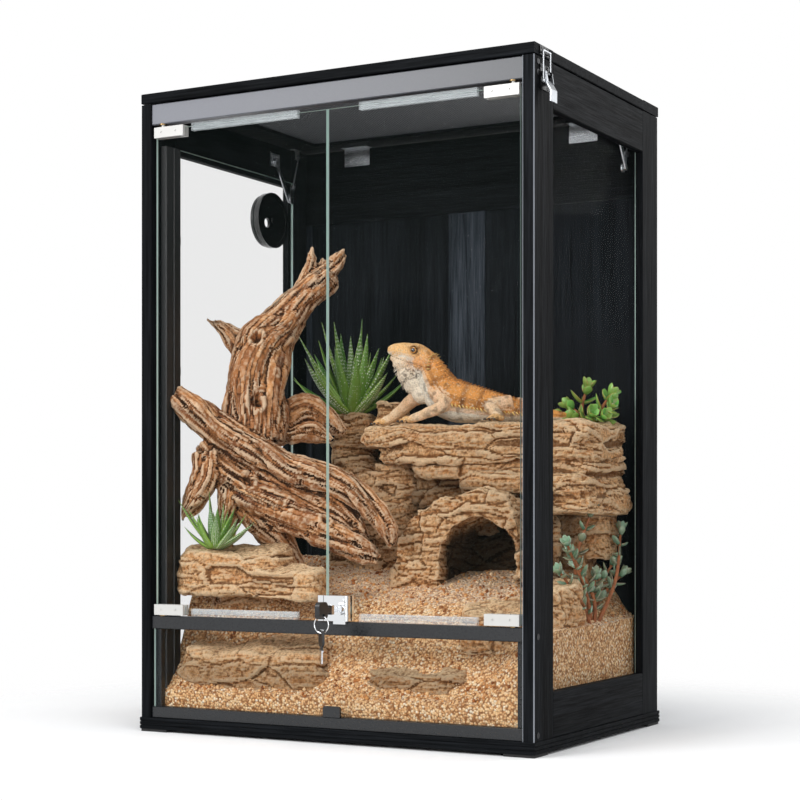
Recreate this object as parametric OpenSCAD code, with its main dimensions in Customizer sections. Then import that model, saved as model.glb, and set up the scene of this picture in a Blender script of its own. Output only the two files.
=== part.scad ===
// Front-opening reptile terrarium: a black board cabinet with glass sides, two hinged
// glass doors over a fixed lower pane, a mesh lid held by two folding stays and a draw
// latch, a door lock with its keys, a cable port, and a furnished desert interior.
// Millimetres. X is the width, -Y the front, +Z up. The origin is on the floor, under
// the middle of the cabinet.

/* [Cabinet] */
// Width over the side boards
cabinet_w = 620; // [600:1:660]
// Depth of the lid, front to back
cabinet_d = 440; // [430:1:470]
// Height from the floor to the top of the lid
cabinet_h = 915; // [900:1:950]
// Thickness of the side boards
board_t = 17; // [16:0.5:19]
// Width of the upright stiles
stile_w = 60; // [54:1:66]
// Height of the side rails
side_rail_h = 60; // [54:1:66]
// Bevel on the boards' long edges
edge_bevel = 1; // [0.5:0.1:1.6]

/* [Base] */
// Height of the feet
foot_h = 4; // [3:0.5:6]
// Length of a foot along the front
foot_w = 44; // [36:1:52]
// Length of a foot along the side
foot_d = 42; // [36:1:52]
// Thickness of the base board
base_t = 16; // [14:0.5:20]
// How far the base board stands out past the cabinet
base_lip = 1.5; // [1:0.1:2.5]
// Depth of the grooves around the base board's edge
base_groove = 1; // [0.6:0.1:1.2]

/* [Back] */
// Thickness of the back rails and uprights
back_t = 12; // [10:0.5:13]
// Thickness of the back panels
panel_t = 6; // [4:0.5:8]
// Height of the back's top rail
back_rail_h = 117; // [100:1:130]
// Height of the back's bottom rail
back_sill_h = 60; // [50:1:70]
// Width of the back's middle upright
centre_stile_w = 63; // [54:1:72]
// Width of the back's narrow side uprights
back_batten_w = 10; // [8:0.5:14]

/* [Glass] */
// Thickness of the side panes, doors and lower pane
glass_t = 4; // [3:0.5:5]
// How far each side pane laps behind its frame
pane_lap = 8; // [6:0.5:10]
// From the side board's outer face to the pane
pane_setback = 11; // [10:0.5:11.5]
// Length of a pane clip
clip_l = 28; // [24:1:32]
// From the opening's top to the highest pane clip
clip_head = 127; // [110:1:140]
// From the opening's foot to the lowest pane clip
clip_foot = 59; // [50:1:80]

/* [Front] */
// How far the front rails stand back from the stiles
rail_setback = 3; // [2:0.5:4]
// Thickness of the front rails, front to back
rail_t = 17; // [16:0.5:19]
// Height of the front top rail
top_rail_h = 29; // [26:1:32]
// Height of the middle rail
mid_rail_h = 18.5; // [16:0.5:22]
// Height of the middle rail's underside above the base board
mid_rail_z = 127.5; // [120:0.5:135]
// Height of the bottom rail
bottom_rail_h = 16; // [14:0.5:20]
// Depth of the grooves that hold the lower pane
pane_groove = 2; // [1.5:0.1:3]
// Width of the lower pane's side battens
batten_w = 11; // [9:0.5:13]
// Width of the lower pane's clip
pane_clip_w = 27; // [22:1:32]
// Height of the lower pane's clip
pane_clip_h = 15; // [12:0.5:18]

/* [Doors] */
// Where the doors meet, from the cabinet's middle
door_meet_x = -2; // [-4:0.5:0]
// Gap between the two doors
door_gap = 2; // [1.5:0.1:3]
// From the side board to the door's outer edge
door_side_gap = 5.5; // [5:0.5:7]
// From the side board to the door's pivot
pivot_inset = 16; // [15:0.5:18]
// Radius of the pivot pins
pivot_r = 2.5; // [2:0.1:3]
// Radial running clearance of pins in their bores
running_gap = 0.05; // [0.03:0.01:0.08]
// Length of a door hinge block
hinge_block_l = 50; // [44:1:56]
// Height of a door hinge block
hinge_block_h = 15; // [13:0.5:18]
// Thickness of a hinge block's cheeks
hinge_cheek_t = 5; // [4:0.5:6]
// Gap between a rail and the hinge block above or below it
hinge_top_gap = 5; // [4:0.5:6]
// Gap between the middle rail and the lower hinge blocks
hinge_foot_gap = 1.5; // [1.2:0.1:2.5]
// Gap between the lock and the edge seal beside it
seal_lock_gap = 14; // [10:0.5:20]
// Gap between a hinge block and the edge seal beside it
seal_hinge_gap = 12; // [8:0.5:20]
// Height of a door's edge seal
seal_h = 11; // [9:0.5:13]

/* [Lock] */
// Width of the lock's front plate
lock_w = 36.5; // [34:0.5:40]
// Height of the lock's front plate
lock_h = 34.5; // [34:0.5:38]
// Thickness of the lock's front plate
lock_t = 9; // [8:0.5:10]
// Width of the strike on the other door
strike_w = 8.5; // [7:0.5:10]
// Radius of the lock cylinder
cylinder_r = 8.5; // [7.5:0.5:9.5]
// Travel of the lock's bolt
bolt_travel = 7; // [5:0.5:8]
// Length of a key's head along its blade
key_head_l = 22; // [18:1:24]
// Width of a key's head
key_head_w = 22.6; // [20:0.2:26]
// Mean radius of the key ring
key_ring_r = 11; // [10:0.5:13]

/* [Lid] */
// Thickness of the lid frame
lid_t = 14; // [12:0.5:16]
// Gap between the lid and the boards under it
lid_gap = 2; // [2:0.1:3]
// Width of the lid frame's members
lid_frame_w = 60; // [54:1:66]
// How far the lid overhangs the cabinet's back
lid_overhang = 3; // [3:0.5:5]
// Height of the mesh above the lid's underside
mesh_rise = 4; // [3:0.5:6]
// Thickness of the mesh
mesh_t = 1; // [0.8:0.1:1.5]
// Distance of the lid hinges from the cabinet's middle
lid_hinge_x = 197; // [180:1:210]
// Width of a lid hinge
lid_hinge_w = 46; // [40:1:52]
// Length of the lid hinge's leaf down the inside of the back
lid_leaf_drop = 27; // [24:1:32]
// Thickness of the lid hinge's leaves
leaf_t = 0.85; // [0.6:0.05:0.85]

/* [Cable port] */
// Radius of the port's flange
port_r = 43.5; // [40:0.5:47]
// Radius of the port's sleeve through the glass
port_sleeve_r = 34; // [30:0.5:36]
// From the rear edge of the side opening to the port's middle
port_inset_y = 64; // [60:1:80]
// From the top of the side opening to the port's middle
port_inset_z = 63; // [58:1:80]
// Radius of the cable hole
cable_hole_r = 7.5; // [5:0.5:9]

/* [Furnishing] */
// Height of the ledge's top above the base board
ledge_z = 420; // [415:1:430]
// Length of the ledge's top slab
ledge_l = 376; // [366:1:384]
// Thickness of the ledge's top slab
slab_t = 48; // [40:1:56]
// Thickness of the slab under it
under_slab_t = 42; // [36:1:46]
// Depth of the cave's arch, front to back
arch_d = 105; // [90:1:112]

/* [Hidden] */
$fn = 48;
sides = [-1, 1];
fit = 0.1;            // gap around what sits in a groove
snug = 0.05;          // gap around a screw or bush in its hole
eps = 0.01;           // overshoot of a cut
small_screw_r = 1.4;
small_screw_l = 8;
small_head_r = 2.6;
small_head_t = 1;
grub_r = 1.6;
grub_recess = 1;
groove_h = 1.4;
pane_play = 0.5;

// Cabinet levels and faces
half_w = cabinet_w / 2;
inner_x = half_w - board_t;
front_y = -cabinet_d / 2;
back_y = cabinet_d / 2;
body_back = back_y - lid_overhang;
base_top = foot_h + base_t;
lid_bottom = cabinet_h - lid_t;
board_top = lid_bottom - lid_gap;

// Side openings and panes
open_front = front_y + stile_w;
open_back = body_back - stile_w;
open_low = base_top + side_rail_h;
open_high = board_top - side_rail_h;
pane_x = half_w - pane_setback;                   // outer face of a side pane
clip_count = 4;
clip_t = 2;
clip_batten = 8;                                  // depth of the strip that joins the clips
clip_h = 12;
clip_y = open_front + 10 - clip_l;
clip_screw_y = clip_y + 5;
clip_pitch = (open_high - clip_head - open_low - clip_foot) / (clip_count - 1);
clip_z = [for (i = [0 : clip_count - 1]) open_high - clip_head - i * clip_pitch];

// Back
back_gap = 2;                                     // back boards to the stiles' rear edge
back_outer = body_back - back_gap;
back_face = back_outer - back_t;                  // inner face of the back
back_rail_low = board_top - back_rail_h;
back_sill_top = base_top + back_sill_h;

// Front rails
rail_front = front_y + rail_setback;
rail_back = rail_front + rail_t;
top_rail_low = board_top - top_rail_h;
mid_low = base_top + mid_rail_z;
mid_top = mid_low + mid_rail_h;
bottom_rail_top = base_top + bottom_rail_h;
rail_mid_y = (rail_front + rail_back) / 2;
rail_screw_z = [board_top - 7, board_top - 21, mid_low + 7, base_top + 8];
rail_screw_r = 2;
rail_screw_l = 24;
rail_head_r = 4;
rail_head_t = 2;
rail_head_proud = 0.6;
pane_clip_x = 7;
pane_clip_t = 4;

// Doors
door_y = front_y + 8;                             // middle plane of the door glass
door_front = door_y - glass_t / 2;
door_back = door_y + glass_t / 2;
door_outer = inner_x - door_side_gap;
pivot_x = inner_x - pivot_inset;
hinge_high = top_rail_low - hinge_top_gap;        // top of the upper blocks
hinge_low = mid_top + hinge_foot_gap;             // bottom of the lower blocks
hinge_web = 2.5;
door_high = hinge_high - hinge_web - fit;
door_low = hinge_low + hinge_web + fit;
bush_r = pivot_r + running_gap + 2;
bush_l = 7;
bush_flange_t = hinge_foot_gap - 0.3;
pin_depth = 6;
seal_wall = 1.3;
hinge_block_over = 0.5;                           // a hinge block past the glass edge
seal_high = hinge_high + 1.5;
seal_low = mid_top + 0.5;

// Lock
lock_left = door_meet_x + door_gap / 2 - 0.6;
lock_right = lock_left + lock_w;
lock_low = mid_top + 1;
lock_front = door_front - lock_t;
lock_cx = lock_right - 12.3;
lock_cz = lock_low + 16.5;
lock_back = door_back + 6;
lock_wall = 1.5;
lock_round = lock_t / 2;
lock_tab_w = 19;
lock_tab_h = 4;
lock_tab_t = 5;
strike_right = door_meet_x - door_gap / 2 + 0.6;
cylinder_proud = 5;
cylinder_front = lock_front - cylinder_proud;
cylinder_collar_t = 1.5;
bolt_gap = 0.3;
cylinder_back = lock_back + bolt_gap + cylinder_collar_t;
bolt_z = lock_cz + cylinder_r + 4;                // middle height of the bolt
bolt_h = 6;
bolt_t = 3;
bolt_l = bolt_travel + 15;
bolt_front = door_back + 0.5 + bolt_gap;
key_slot = [2.2, 8];
blade = [2, 7.6];
blade_out = 14;
blade_in = 20;
shoulder_l = 8;
shoulder_w = 12.5;
neck_l = 8;
neck_w = 7;
head_t = 7;
head_round = 6;
key_hole_r = 2.6;
key_hole_in = key_head_w / 2 - 4.5;               // hole below the head's middle
key_ring_y = cylinder_front - blade_out - shoulder_l - neck_l - key_head_l / 2;
ring_wire = 0.8;
ring_z = lock_cz - key_hole_in - 0.9 - key_ring_r;
spare_shoulder = 3;
spare_neck = 4;
spare_blade = 16;
spare_t = 3;
spare_turn = 45;
spare_hole_r = 3.8;
spare_hole_z = ring_z - key_ring_r - 1.2;
spare_hole_up = spare_shoulder + spare_neck + key_head_l - 5.5;

// Lid and its hinges
knuckle_r = 2.4;
hinge_pin_r = 1;
hinge_y = back_outer + knuckle_r + 0.3;
hinge_z = lid_bottom - knuckle_r - 0.3;
hinge_end_l = 14;
hinge_mid_l = lid_hinge_w - 2 * hinge_end_l - 0.6;
hinge_screw_gap = lid_hinge_w / 2 - 8.6;
hinge_screw_x = [for (s = sides, k = sides) s * lid_hinge_x + k * hinge_screw_gap];
hinge_screw_z = board_top - lid_leaf_drop + 8.5;
lid_screw_y = back_face - 7;
mesh_z = lid_bottom + mesh_rise;
mesh_x = half_w - lid_frame_w;
mesh_y = back_y - lid_frame_w;
mesh_lap = 5;
lid_leaf_l = 24;

// Folding stays: side pivot, elbow and lid pivot, as [y, z]
stay_side = [open_back - 51, board_top - 27];
stay_elbow = [open_back - 13, board_top - 84];
stay_lid = [open_back + 12, board_top - 10];
stay_pin_r = 2;
stay_bar_t = 2;
stay_bar_w = 7;
stay_plate_t = 2;
stay_lower_x = inner_x - stay_plate_t - 0.5;      // outer face of the lower arm
stay_upper_x = stay_lower_x - stay_bar_t - 0.6;   // outer face of the upper arm
stay_knob_t = 2;
stay_knob_r = 6;
stay_cap_t = 0.8;
stay_strap_share = 0.2;                           // strap's share of the upper arm
stay_rod_r = 1.2;
stay_nut_r = 4;
stay_foot_w = 14;
stay_screw_z = stay_side[1] + 8;
stay_screw_y = [for (k = [-1, 0, 1]) stay_side[0] + 9 * k];

// Draw latch on the right front stile
latch_y = front_y + 29;
latch_w = 26;
latch_base_t = 1.5;
latch_pivot = [half_w + 6, board_top - 21];       // [x, z] of the lever's pin
bail_pin = latch_pivot + [-1.5, -10];             // [x, z] of the bail's pin
latch_pin_r = 1.5;
latch_ear_r = 3.5;
latch_ear_t = 1.5;
latch_ear_gap = 11;
latch_screw_z = [latch_pivot[1] - 17, latch_pivot[1] + 9];
latch_screw_y = 9.5;
latch_screw_l = 8;
latch_reach = 9.5;                                // finger tab beyond the bail's pin
latch_drop = 12;                                  // bend below the bail's pin
latch_tab = 15;
lever_cheek_gap = 16;
lever_w = lever_cheek_gap + 2 * latch_ear_t;
lever_end_r = 2.4;
bail_wire = 1.1;
bail_w = 22;                                      // between the bail's legs
bail_pin_r = 1.2;
bail_eye_r = 2.4;
bail_eye_t = 2;
bail_top = lid_bottom + 6;
keeper_t = 1.2;
keeper_lip_z = lid_bottom + 4.5;

// Cable port in the left pane
port_y = open_back - port_inset_y;
port_z = open_high - port_inset_z;
port_gap = 0.3;
port_flange_t = 9;
port_web_t = 2;
port_web_back = 4;                                // pane to the web
port_nut_t = 4;
port_sleeve_l = glass_t + port_nut_t;
port_shutter_r = port_r - 7.5;
port_shutter_t = 2;
port_pin_r = 2.5;
port_pin_l = port_shutter_t + 2 * port_gap;
port_offset = [-17.5, -6];                        // cable hole from the port's middle
port_in_x = -(pane_x - glass_t);                  // inner face of the left pane

// Furnishing: heights above the base board; x from a side wall, y from the back or front
sand_edge = inner_x - clip_t - 0.4;               // clear of the pane clips
sand_middle = [[-200, 40], [-100, 110], [0, 185], [100, 216], [203, 226]];
sand_left = [[-200, 40], [-190, 42], [-150, 145], [-100, 165], [0, 195], [203, 226]];
sand_right = [[-200, 40], [-165, 105], [-150, 111], [-122, 127], [203, 130]];
slab_low = ledge_z - slab_t;
under_slab_low = slab_low - under_slab_t;
arch_clear = 270;                                 // joint between the two stones under the slabs
arch_outline = [[8, 140], [5, 240], [22, 280], [70, 312], [140, 330], [185, 318], [205, 275], [212, 140],
                [196, 140], [197, 235], [172, 268], [142, 284], [112, 270], [92, 240], [86, 140]];
trunk = [[93, -85, 397], [89, -80, 443], [86, -75, 482], [84, -68, 515], [86, -55, 546], [99, -30, 578],
         [116, 0, 612], [136, 25, 645], [148, 40, 669]];
twigs = [[[115, 5, 618], [118, 20, 662], [119, 28, 696]], [[131, 20, 640], [134, 32, 662], [134, 38, 682]],
         [[141, 30, 651], [151, 45, 672], [161, 55, 693]], [[130, 15, 621], [150, 30, 632], [162, 38, 643]]];
stub = [[66, -75, 538], [41, -85, 563], [27, -92, 574], [14, -100, 583]];
limb_upper = [[4, -168, 460], [36, -160, 439], [63, -145, 416], [93, -128, 396], [131, -112, 374],
              [164, -100, 356], [205, -88, 346], [246, -82, 330], [281, -78, 305], [308, -76, 273],
              [317, -76, 243]];
limb_middle = [[81, -110, 369], [128, -100, 341], [175, -92, 320], [223, -85, 305], [259, -80, 280],
               [280, -78, 256]];
limb_lower = [[39, -140, 397], [65, -130, 359], [98, -112, 327], [141, -104, 300], [188, -98, 281],
              [231, -92, 263], [267, -86, 244], [299, -82, 226]];
limb_back = [[116, -50, 423], [134, -25, 446], [160, 0, 434], [184, 6, 413]];
limb_back_low = [[131, -60, 405], [153, -30, 412], [178, -14, 400]];
root_left = [[46, -150, 382], [46, -150, 345], [28, -152, 310], [7, -155, 283]];
root_middle = [[73, -130, 348], [74, -128, 303], [58, -126, 259], [52, -122, 150]];
root_right = [[90, -105, 321], [112, -95, 279], [134, -85, 248], [156, -78, 190], [160, -74, 140]];
aloe_back = [143, 108, 449];
aloe_back_tips = [[33, 110, 505], [73, 60, 570], [98, 90, 590], [108, 110, 592], [153, 120, 595],
                  [200, 90, 545], [180, 70, 570], [60, 130, 545]];
aloe_front = [72, -162, 244];
aloe_front_tips = [[18, -178, 312], [63, -165, 325], [112, -172, 300], [143, -168, 280], [40, -185, 300],
                   [88, -180, 300]];
jade_root = [-55, 120, ledge_z];
jade_heads = [[-98, 118, 470], [-55, 128, 480], [-24, 112, 466], [-70, 96, 458]];
stonecrop_root = [-30, 50, 110];
stonecrop_heads = [[-26, 62, 300], [-28, -20, 262], [-26, 120, 278], [-24, 45, 240]];
dragon_sink = 1.5;                                // its feet's rounding, down to the ledge
dragon_spine = [[-40, 21, 106], [-14, 28, 101], [10, 33, 80], [40, 42, 47], [85, 55, 37], [123, 65, 28],
                [154, 73, 21], [188, 84, 13], [212, 104, 9.5], [224, 140, 6.5]];
dragon_girth = [7, 17, 20, 29, 24, 18, 12, 8, 5.5, 3];
dragon_legs = [[[32, 24, 46], [50, 6, 24], [4, 10, 5.2]], [[12, 54, 48], [-12, 68, 28], [-32, 62, 4.2]],
               [[130, 48, 26], [108, 26, 20], [134, 20, 5.0]], [[142, 88, 24], [124, 110, 20], [148, 116, 4.9]]];

// ---------- small helpers ----------
module box(low, high) {
    translate(low) cube(high - low);
}

// A post with bevelled long edges, from low to high, standing along Z
module post(low, high) {
    b = edge_bevel;
    w = high[0] - low[0];
    d = high[1] - low[1];
    translate(low) linear_extrude(high[2] - low[2])
        polygon([[b, 0], [w - b, 0], [w, b], [w, d - b], [w - b, d], [b, d], [0, d - b], [0, b]]);
}

// A rail with bevelled long edges, lying along X
module rail_x(low, high) {
    translate([low[0], 0, 0]) rotate([90, 0, 90])
        post([low[1], low[2], 0], [high[1], high[2], high[0] - low[0]]);
}

// A rail with bevelled long edges, lying along Y
module rail_y(low, high) {
    translate([0, high[1], 0]) rotate([90, 0, 0])
        post([low[0], low[2], 0], [high[0], high[2], high[1] - low[1]]);
}

module rod_x(c, r, l) { translate(c) rotate([0, 90, 0]) cylinder(r = r, h = l, center = true); }
module rod_y(c, r, l) { translate(c) rotate([90, 0, 0]) cylinder(r = r, h = l, center = true); }

// The same thing on both sides of the cabinet
module both_sides() {
    children();
    mirror([1, 0, 0]) children();
}

function unit(v) = v / norm(v);
function wobble(i, seed) = 0.5 * sin(137.5 * i + 77.7 * seed) + 0.5 * sin(71.3 * i + 31.1 * seed);
function heading(p, i) = unit(p[min(i + 1, len(p) - 1)] - p[max(i - 1, 0)]);
function hoop(c, d, r, n) =
    let (u = unit(cross(d, [0, 1, 0.1])), v = cross(d, u))
    [for (k = [0 : n - 1]) c + r * cos(360 * k / n) * u + r * sin(360 * k / n) * v];
// The two triangles between neighbouring points of each pair of hoops
function skin(rings, n) = [for (i = [0 : rings - 2]) for (k = [0 : n - 1]) each
    let (a = i * n + k, b = i * n + (k + 1) % n) [[a, a + n, b], [b, a + n, b + n]]];

// A tapering tube along the points p with the radii r: a branch, leaf, leg or tail
module limb(p, r, n = 8) {
    rings = len(p);
    points = [for (i = [0 : rings - 1]) each hoop(p[i], heading(p, i), r[i], n)];
    ends = [[for (k = [0 : n - 1]) k], [for (k = [n - 1 : -1 : 0]) (rings - 1) * n + k]];
    polyhedron(points, concat(skin(rings, n), ends), convexity = 4);
}

// A rough slab or boulder on the point c, with the size [w, d, h]; crown is how far its top spreads
module stone(c, size, seed, turn = 0, n = 9, crown = 0.78) {
    levels = [[0, 0.90], [0.28, 1], [0.74, 0.5 + 0.5 * crown + 0.06], [1, crown]];
    function squarer(v) = sign(v) * pow(abs(v), 0.65);
    function rim(l, i) = let (k = levels[l][1] * (1 + 0.11 * wobble(i + 3 * l, seed)))
        [size[0] / 2 * k * squarer(cos(360 * i / n)), size[1] / 2 * k * squarer(sin(360 * i / n)),
         size[2] * levels[l][0]];
    points = [for (l = [0 : 3]) for (i = [0 : n - 1]) rim(l, i)];
    ends = [[for (k = [n - 1 : -1 : 0]) k], [for (k = [0 : n - 1]) 3 * n + k]];
    sides_up = [for (f = skin(4, n)) [f[0], f[1], f[2]]];
    translate(c) rotate(turn) polyhedron(points, concat(sides_up, [for (e = ends) [for (k = [len(e) - 1 : -1 : 0]) e[k]]]));
}

// A flat shape of w by h about the origin, with corners of radius r
module rounded(w, h, r) {
    square([w - 2 * r, h], center = true);
    square([w, h - 2 * r], center = true);
    for (x = sides, y = sides) translate([x * (w / 2 - r), y * (h / 2 - r)]) circle(r);
}

// A flat bar across X from thickness x to x + t, between the points a and b, each [y, z]
module bar_yz(a, b, x, t, w) {
    translate([x, a[0], a[1]]) rotate([atan2(b[1] - a[1], b[0] - a[0]), 0, 0])
        translate([0, 0, -w / 2]) cube([t, norm(b - a), w]);
    for (p = [a, b]) rod_x([x + t / 2, p[0], p[1]], w / 2, t);
}

// A screw whose head stands on z = 0 and whose shank goes down
module screw(head_r, head_h, shank_r, shank_l) {
    cylinder(r = head_r, h = head_h);
    translate([0, 0, -shank_l]) cylinder(r = shank_r, h = shank_l + eps);
}

// ---------- base and frame ----------
module base_board() {
    low = [-half_w - base_lip, front_y - base_lip, foot_h];
    high = [half_w + base_lip, back_y + base_lip, base_top];
    inset = [base_groove, base_groove, 0];
    color("#26282b") difference() {
        box(low, high);
        for (share = [1 / 3, 2 / 3]) translate([0, 0, base_t * share - groove_h / 2])
            difference() {
                box([low[0] - 1, low[1] - 1, low[2]], [high[0] + 1, high[1] + 1, low[2] + groove_h]);
                box([low[0], low[1], low[2] - 1] + inset, [high[0], high[1], low[2] + groove_h + 1] - inset);
            }
    }
}

module foot_pad(at) {
    translate([at[0], at[1], foot_h / 2]) cube([foot_w, foot_d, foot_h], center = true);
}

// A pad under each corner, and one under the middle of the base board
module feet() {
    color("#1b1c1e") {
        for (x = sides, y = sides) foot_pad([x * (half_w - foot_w / 2), y * (back_y - foot_d / 2)]);
        foot_pad([0, 0]);
    }
}

// The step behind which a side pane laps, cut into the right-hand side's boards
module pane_rebate() {
    box([inner_x - 1, open_front - pane_lap, open_low - pane_lap],
        [pane_x, open_back + pane_lap, open_high + pane_lap]);
}

// Holes for the screws that join the right-hand front stile to the rails
module rail_screw_holes() {
    for (z = rail_screw_z) {
        rod_x([half_w, rail_mid_y, z], rail_screw_r + snug, 2 * (rail_screw_l + 2));
        rod_x([half_w, rail_mid_y, z], rail_head_r + snug, 2 * (rail_head_t - rail_head_proud));
    }
}

module front_stile() {
    difference() {
        post([inner_x, front_y, base_top], [half_w, open_front, board_top]);
        pane_rebate();
        rail_screw_holes();
        for (z = clip_z) rod_x([inner_x, clip_screw_y, z], small_screw_r + snug, 2 * (small_screw_l + 1));
    }
}

module rear_stile() {
    difference() {
        post([inner_x, open_back, base_top], [half_w, body_back, board_top]);
        pane_rebate();
    }
}

module side_rails() {
    difference() {
        union() {
            rail_y([inner_x, open_front, base_top], [half_w, open_back, open_low]);
            rail_y([inner_x, open_front, open_high], [half_w, open_back, board_top]);
        }
        pane_rebate();
        for (y = stay_screw_y)
            rod_x([inner_x, y, stay_screw_z], small_screw_r + snug, 2 * (small_screw_l + 1));
    }
}

module front_right_stile() {
    color("#2a2c30") difference() {
        front_stile();
        for (z = latch_screw_z, y = sides)
            rod_x([half_w, latch_y + y * latch_screw_y, z], small_screw_r + snug, 2 * (latch_screw_l + 1));
    }
}
module front_left_stile() { color("#2a2c30") mirror([1, 0, 0]) front_stile(); }
module rear_right_stile() { color("#2a2c30") rear_stile(); }
module rear_left_stile() { color("#2a2c30") mirror([1, 0, 0]) rear_stile(); }
module right_side_rails() { color("#2a2c30") side_rails(); }
module left_side_rails() { color("#2a2c30") mirror([1, 0, 0]) side_rails(); }

// ---------- side panes ----------
module side_pane() {
    box([pane_x - glass_t, open_front - pane_lap + pane_play, open_low - pane_lap + pane_play],
        [pane_x, open_back + pane_lap - pane_play, open_high + pane_lap - pane_play]);
}

module right_glass() { color("#cfe6e0", 0.3) side_pane(); }
module left_glass() {
    color("#cfe6e0", 0.3) difference() {
        mirror([1, 0, 0]) side_pane();
        rod_x([-pane_x, port_y, port_z], port_sleeve_r + port_gap, 4 * glass_t);
    }
}

// Plates screwed to the front stiles, with a pad that reaches over the pane
module side_glass_clips() {
    color("#101113") both_sides() for (z = clip_z) {
        difference() {
            union() {
                box([inner_x - clip_t, clip_y, z - clip_h / 2], [inner_x, clip_y + clip_l, z + clip_h / 2]);
                box([inner_x - eps, open_front, z - clip_h / 2],
                    [pane_x - glass_t, clip_y + clip_l, z + clip_h / 2]);
            }
            rod_x([inner_x, clip_screw_y, z], small_screw_r + snug, 3 * clip_t);
        }
        translate([inner_x - clip_t, clip_screw_y, z]) rotate([0, -90, 0])
            screw(small_head_r, small_head_t, small_screw_r, small_screw_l + clip_t);
    }
    color("#101113") both_sides()
        box([inner_x - clip_t, open_front, open_low], [inner_x, open_front + clip_batten, open_high]);
}

// ---------- back ----------
module back_rails() {
    color("#24262a") difference() {
        union() {
            box([-inner_x, back_face, back_rail_low], [inner_x, back_outer, board_top]);
            box([-inner_x, back_face, base_top], [inner_x, back_outer, back_sill_top]);
        }
        for (x = hinge_screw_x)
            rod_y([x, back_face, hinge_screw_z], small_screw_r + snug, 2 * (small_screw_l - leaf_t + 1));
    }
}

module back_uprights() {
    color("#24262a") {
        box([-centre_stile_w / 2, back_face, back_sill_top], [centre_stile_w / 2, back_outer, back_rail_low]);
        both_sides() box([inner_x - back_batten_w, back_face, back_sill_top],
                         [inner_x, back_outer, back_rail_low]);
    }
}

module back_panels() {
    mid_y = (back_face + back_outer) / 2;
    color("#303338") both_sides()
        box([centre_stile_w / 2, mid_y - panel_t / 2, back_sill_top],
            [inner_x - back_batten_w, mid_y + panel_t / 2, back_rail_low]);
}

// ---------- front rails and lower pane ----------
// The groove that takes the lower pane's edge
module lower_pane_groove() {
    box([-inner_x + 1, door_front - fit / 2, bottom_rail_top - pane_groove],
        [inner_x - 1, door_back + fit / 2, mid_low + pane_groove]);
}

module bush_hole(z, up) {
    for (x = sides) translate([x * pivot_x, door_y, z - (up > 0 ? 1 : bush_l)])
        cylinder(r = bush_r + snug, h = bush_l + 1);
}

module front_top_rail() {
    color("#3a3d42") difference() {
        rail_x([-inner_x, rail_front, top_rail_low], [inner_x, rail_back, board_top]);
        bush_hole(top_rail_low, 1);
        both_sides() rail_screw_holes();
    }
}

module front_mid_rail() {
    color("#3a3d42") difference() {
        rail_x([-inner_x, rail_front, mid_low], [inner_x, rail_back, mid_top]);
        bush_hole(mid_top, -1);
        lower_pane_groove();
        both_sides() rail_screw_holes();
    }
}

module front_bottom_rail() {
    color("#3a3d42") difference() {
        rail_x([-inner_x, rail_front, base_top], [inner_x, rail_back, bottom_rail_top]);
        lower_pane_groove();
        both_sides() rail_screw_holes();
    }
}

module rail_screws() {
    color("#1d1e20") both_sides() for (z = rail_screw_z)
        translate([half_w + rail_head_proud - rail_head_t, rail_mid_y, z]) rotate([0, 90, 0])
            screw(rail_head_r, rail_head_t, rail_screw_r, rail_screw_l);
}

module lower_glass() {
    color("#cfe6e0", 0.3)
        box([-inner_x + 1.5, door_front, bottom_rail_top - pane_groove + fit],
            [inner_x - 1.5, door_back, mid_low + pane_groove - fit]);
}

// Battens behind the lower pane's ends, and the clip at the foot of its middle
module lower_glass_holders() {
    color("#101113") {
        both_sides() box([inner_x - batten_w, door_back + fit, bottom_rail_top],
                         [inner_x, rail_back - 1, mid_low]);
        translate([pane_clip_x, door_front, bottom_rail_top]) rotate([90, 0, 0])
            linear_extrude(pane_clip_t) intersection() {
                translate([0, pane_clip_h / 2 - 5]) rounded(pane_clip_w, pane_clip_h + 10, 4);
                translate([-pane_clip_w, 0]) square([2 * pane_clip_w, pane_clip_h + 1]);
            }
    }
}

module bush(up) {
    difference() {
        union() {
            cylinder(r = bush_r, h = bush_l);
            translate([0, 0, -bush_flange_t]) cylinder(r = bush_r + 1, h = bush_flange_t);
        }
        translate([0, 0, -bush_flange_t - 1]) cylinder(r = pivot_r + running_gap, h = bush_l + bush_flange_t + 2);
    }
}

module door_bushes() {
    color("#b08d57") for (x = sides) {
        translate([x * pivot_x, door_y, top_rail_low]) bush();
        translate([x * pivot_x, door_y, mid_top]) mirror([0, 0, 1]) bush();
    }
}

// ---------- doors ----------
module left_door_glass() {
    color("#cfe6e0", 0.3)
        box([-door_outer, door_front, door_low], [door_meet_x - door_gap / 2, door_back, door_high]);
}

module right_door_glass() {
    color("#cfe6e0", 0.3) difference() {
        box([door_meet_x + door_gap / 2, door_front, door_low], [door_outer, door_back, door_high]);
        rod_y([lock_cx, door_y, lock_cz], cylinder_r + 1, 4 * glass_t);
    }
}

// A U-shaped clamp over the glass edge, with the pivot pin on its back
module hinge_block() {
    outer = door_outer + hinge_block_over;
    difference() {
        box([outer - hinge_block_l, door_front - hinge_cheek_t, -hinge_block_h],
            [outer, door_back + hinge_cheek_t, 0]);
        box([outer - hinge_block_l - 1, door_front, -hinge_block_h - 1], [outer + 1, door_back, -hinge_web]);
        for (x = [1 / 4, 3 / 4]) rod_y([outer - hinge_block_l * x, door_front - hinge_cheek_t, -hinge_block_h / 2],
                                       grub_r, 2 * grub_recess);
    }
}

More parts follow.
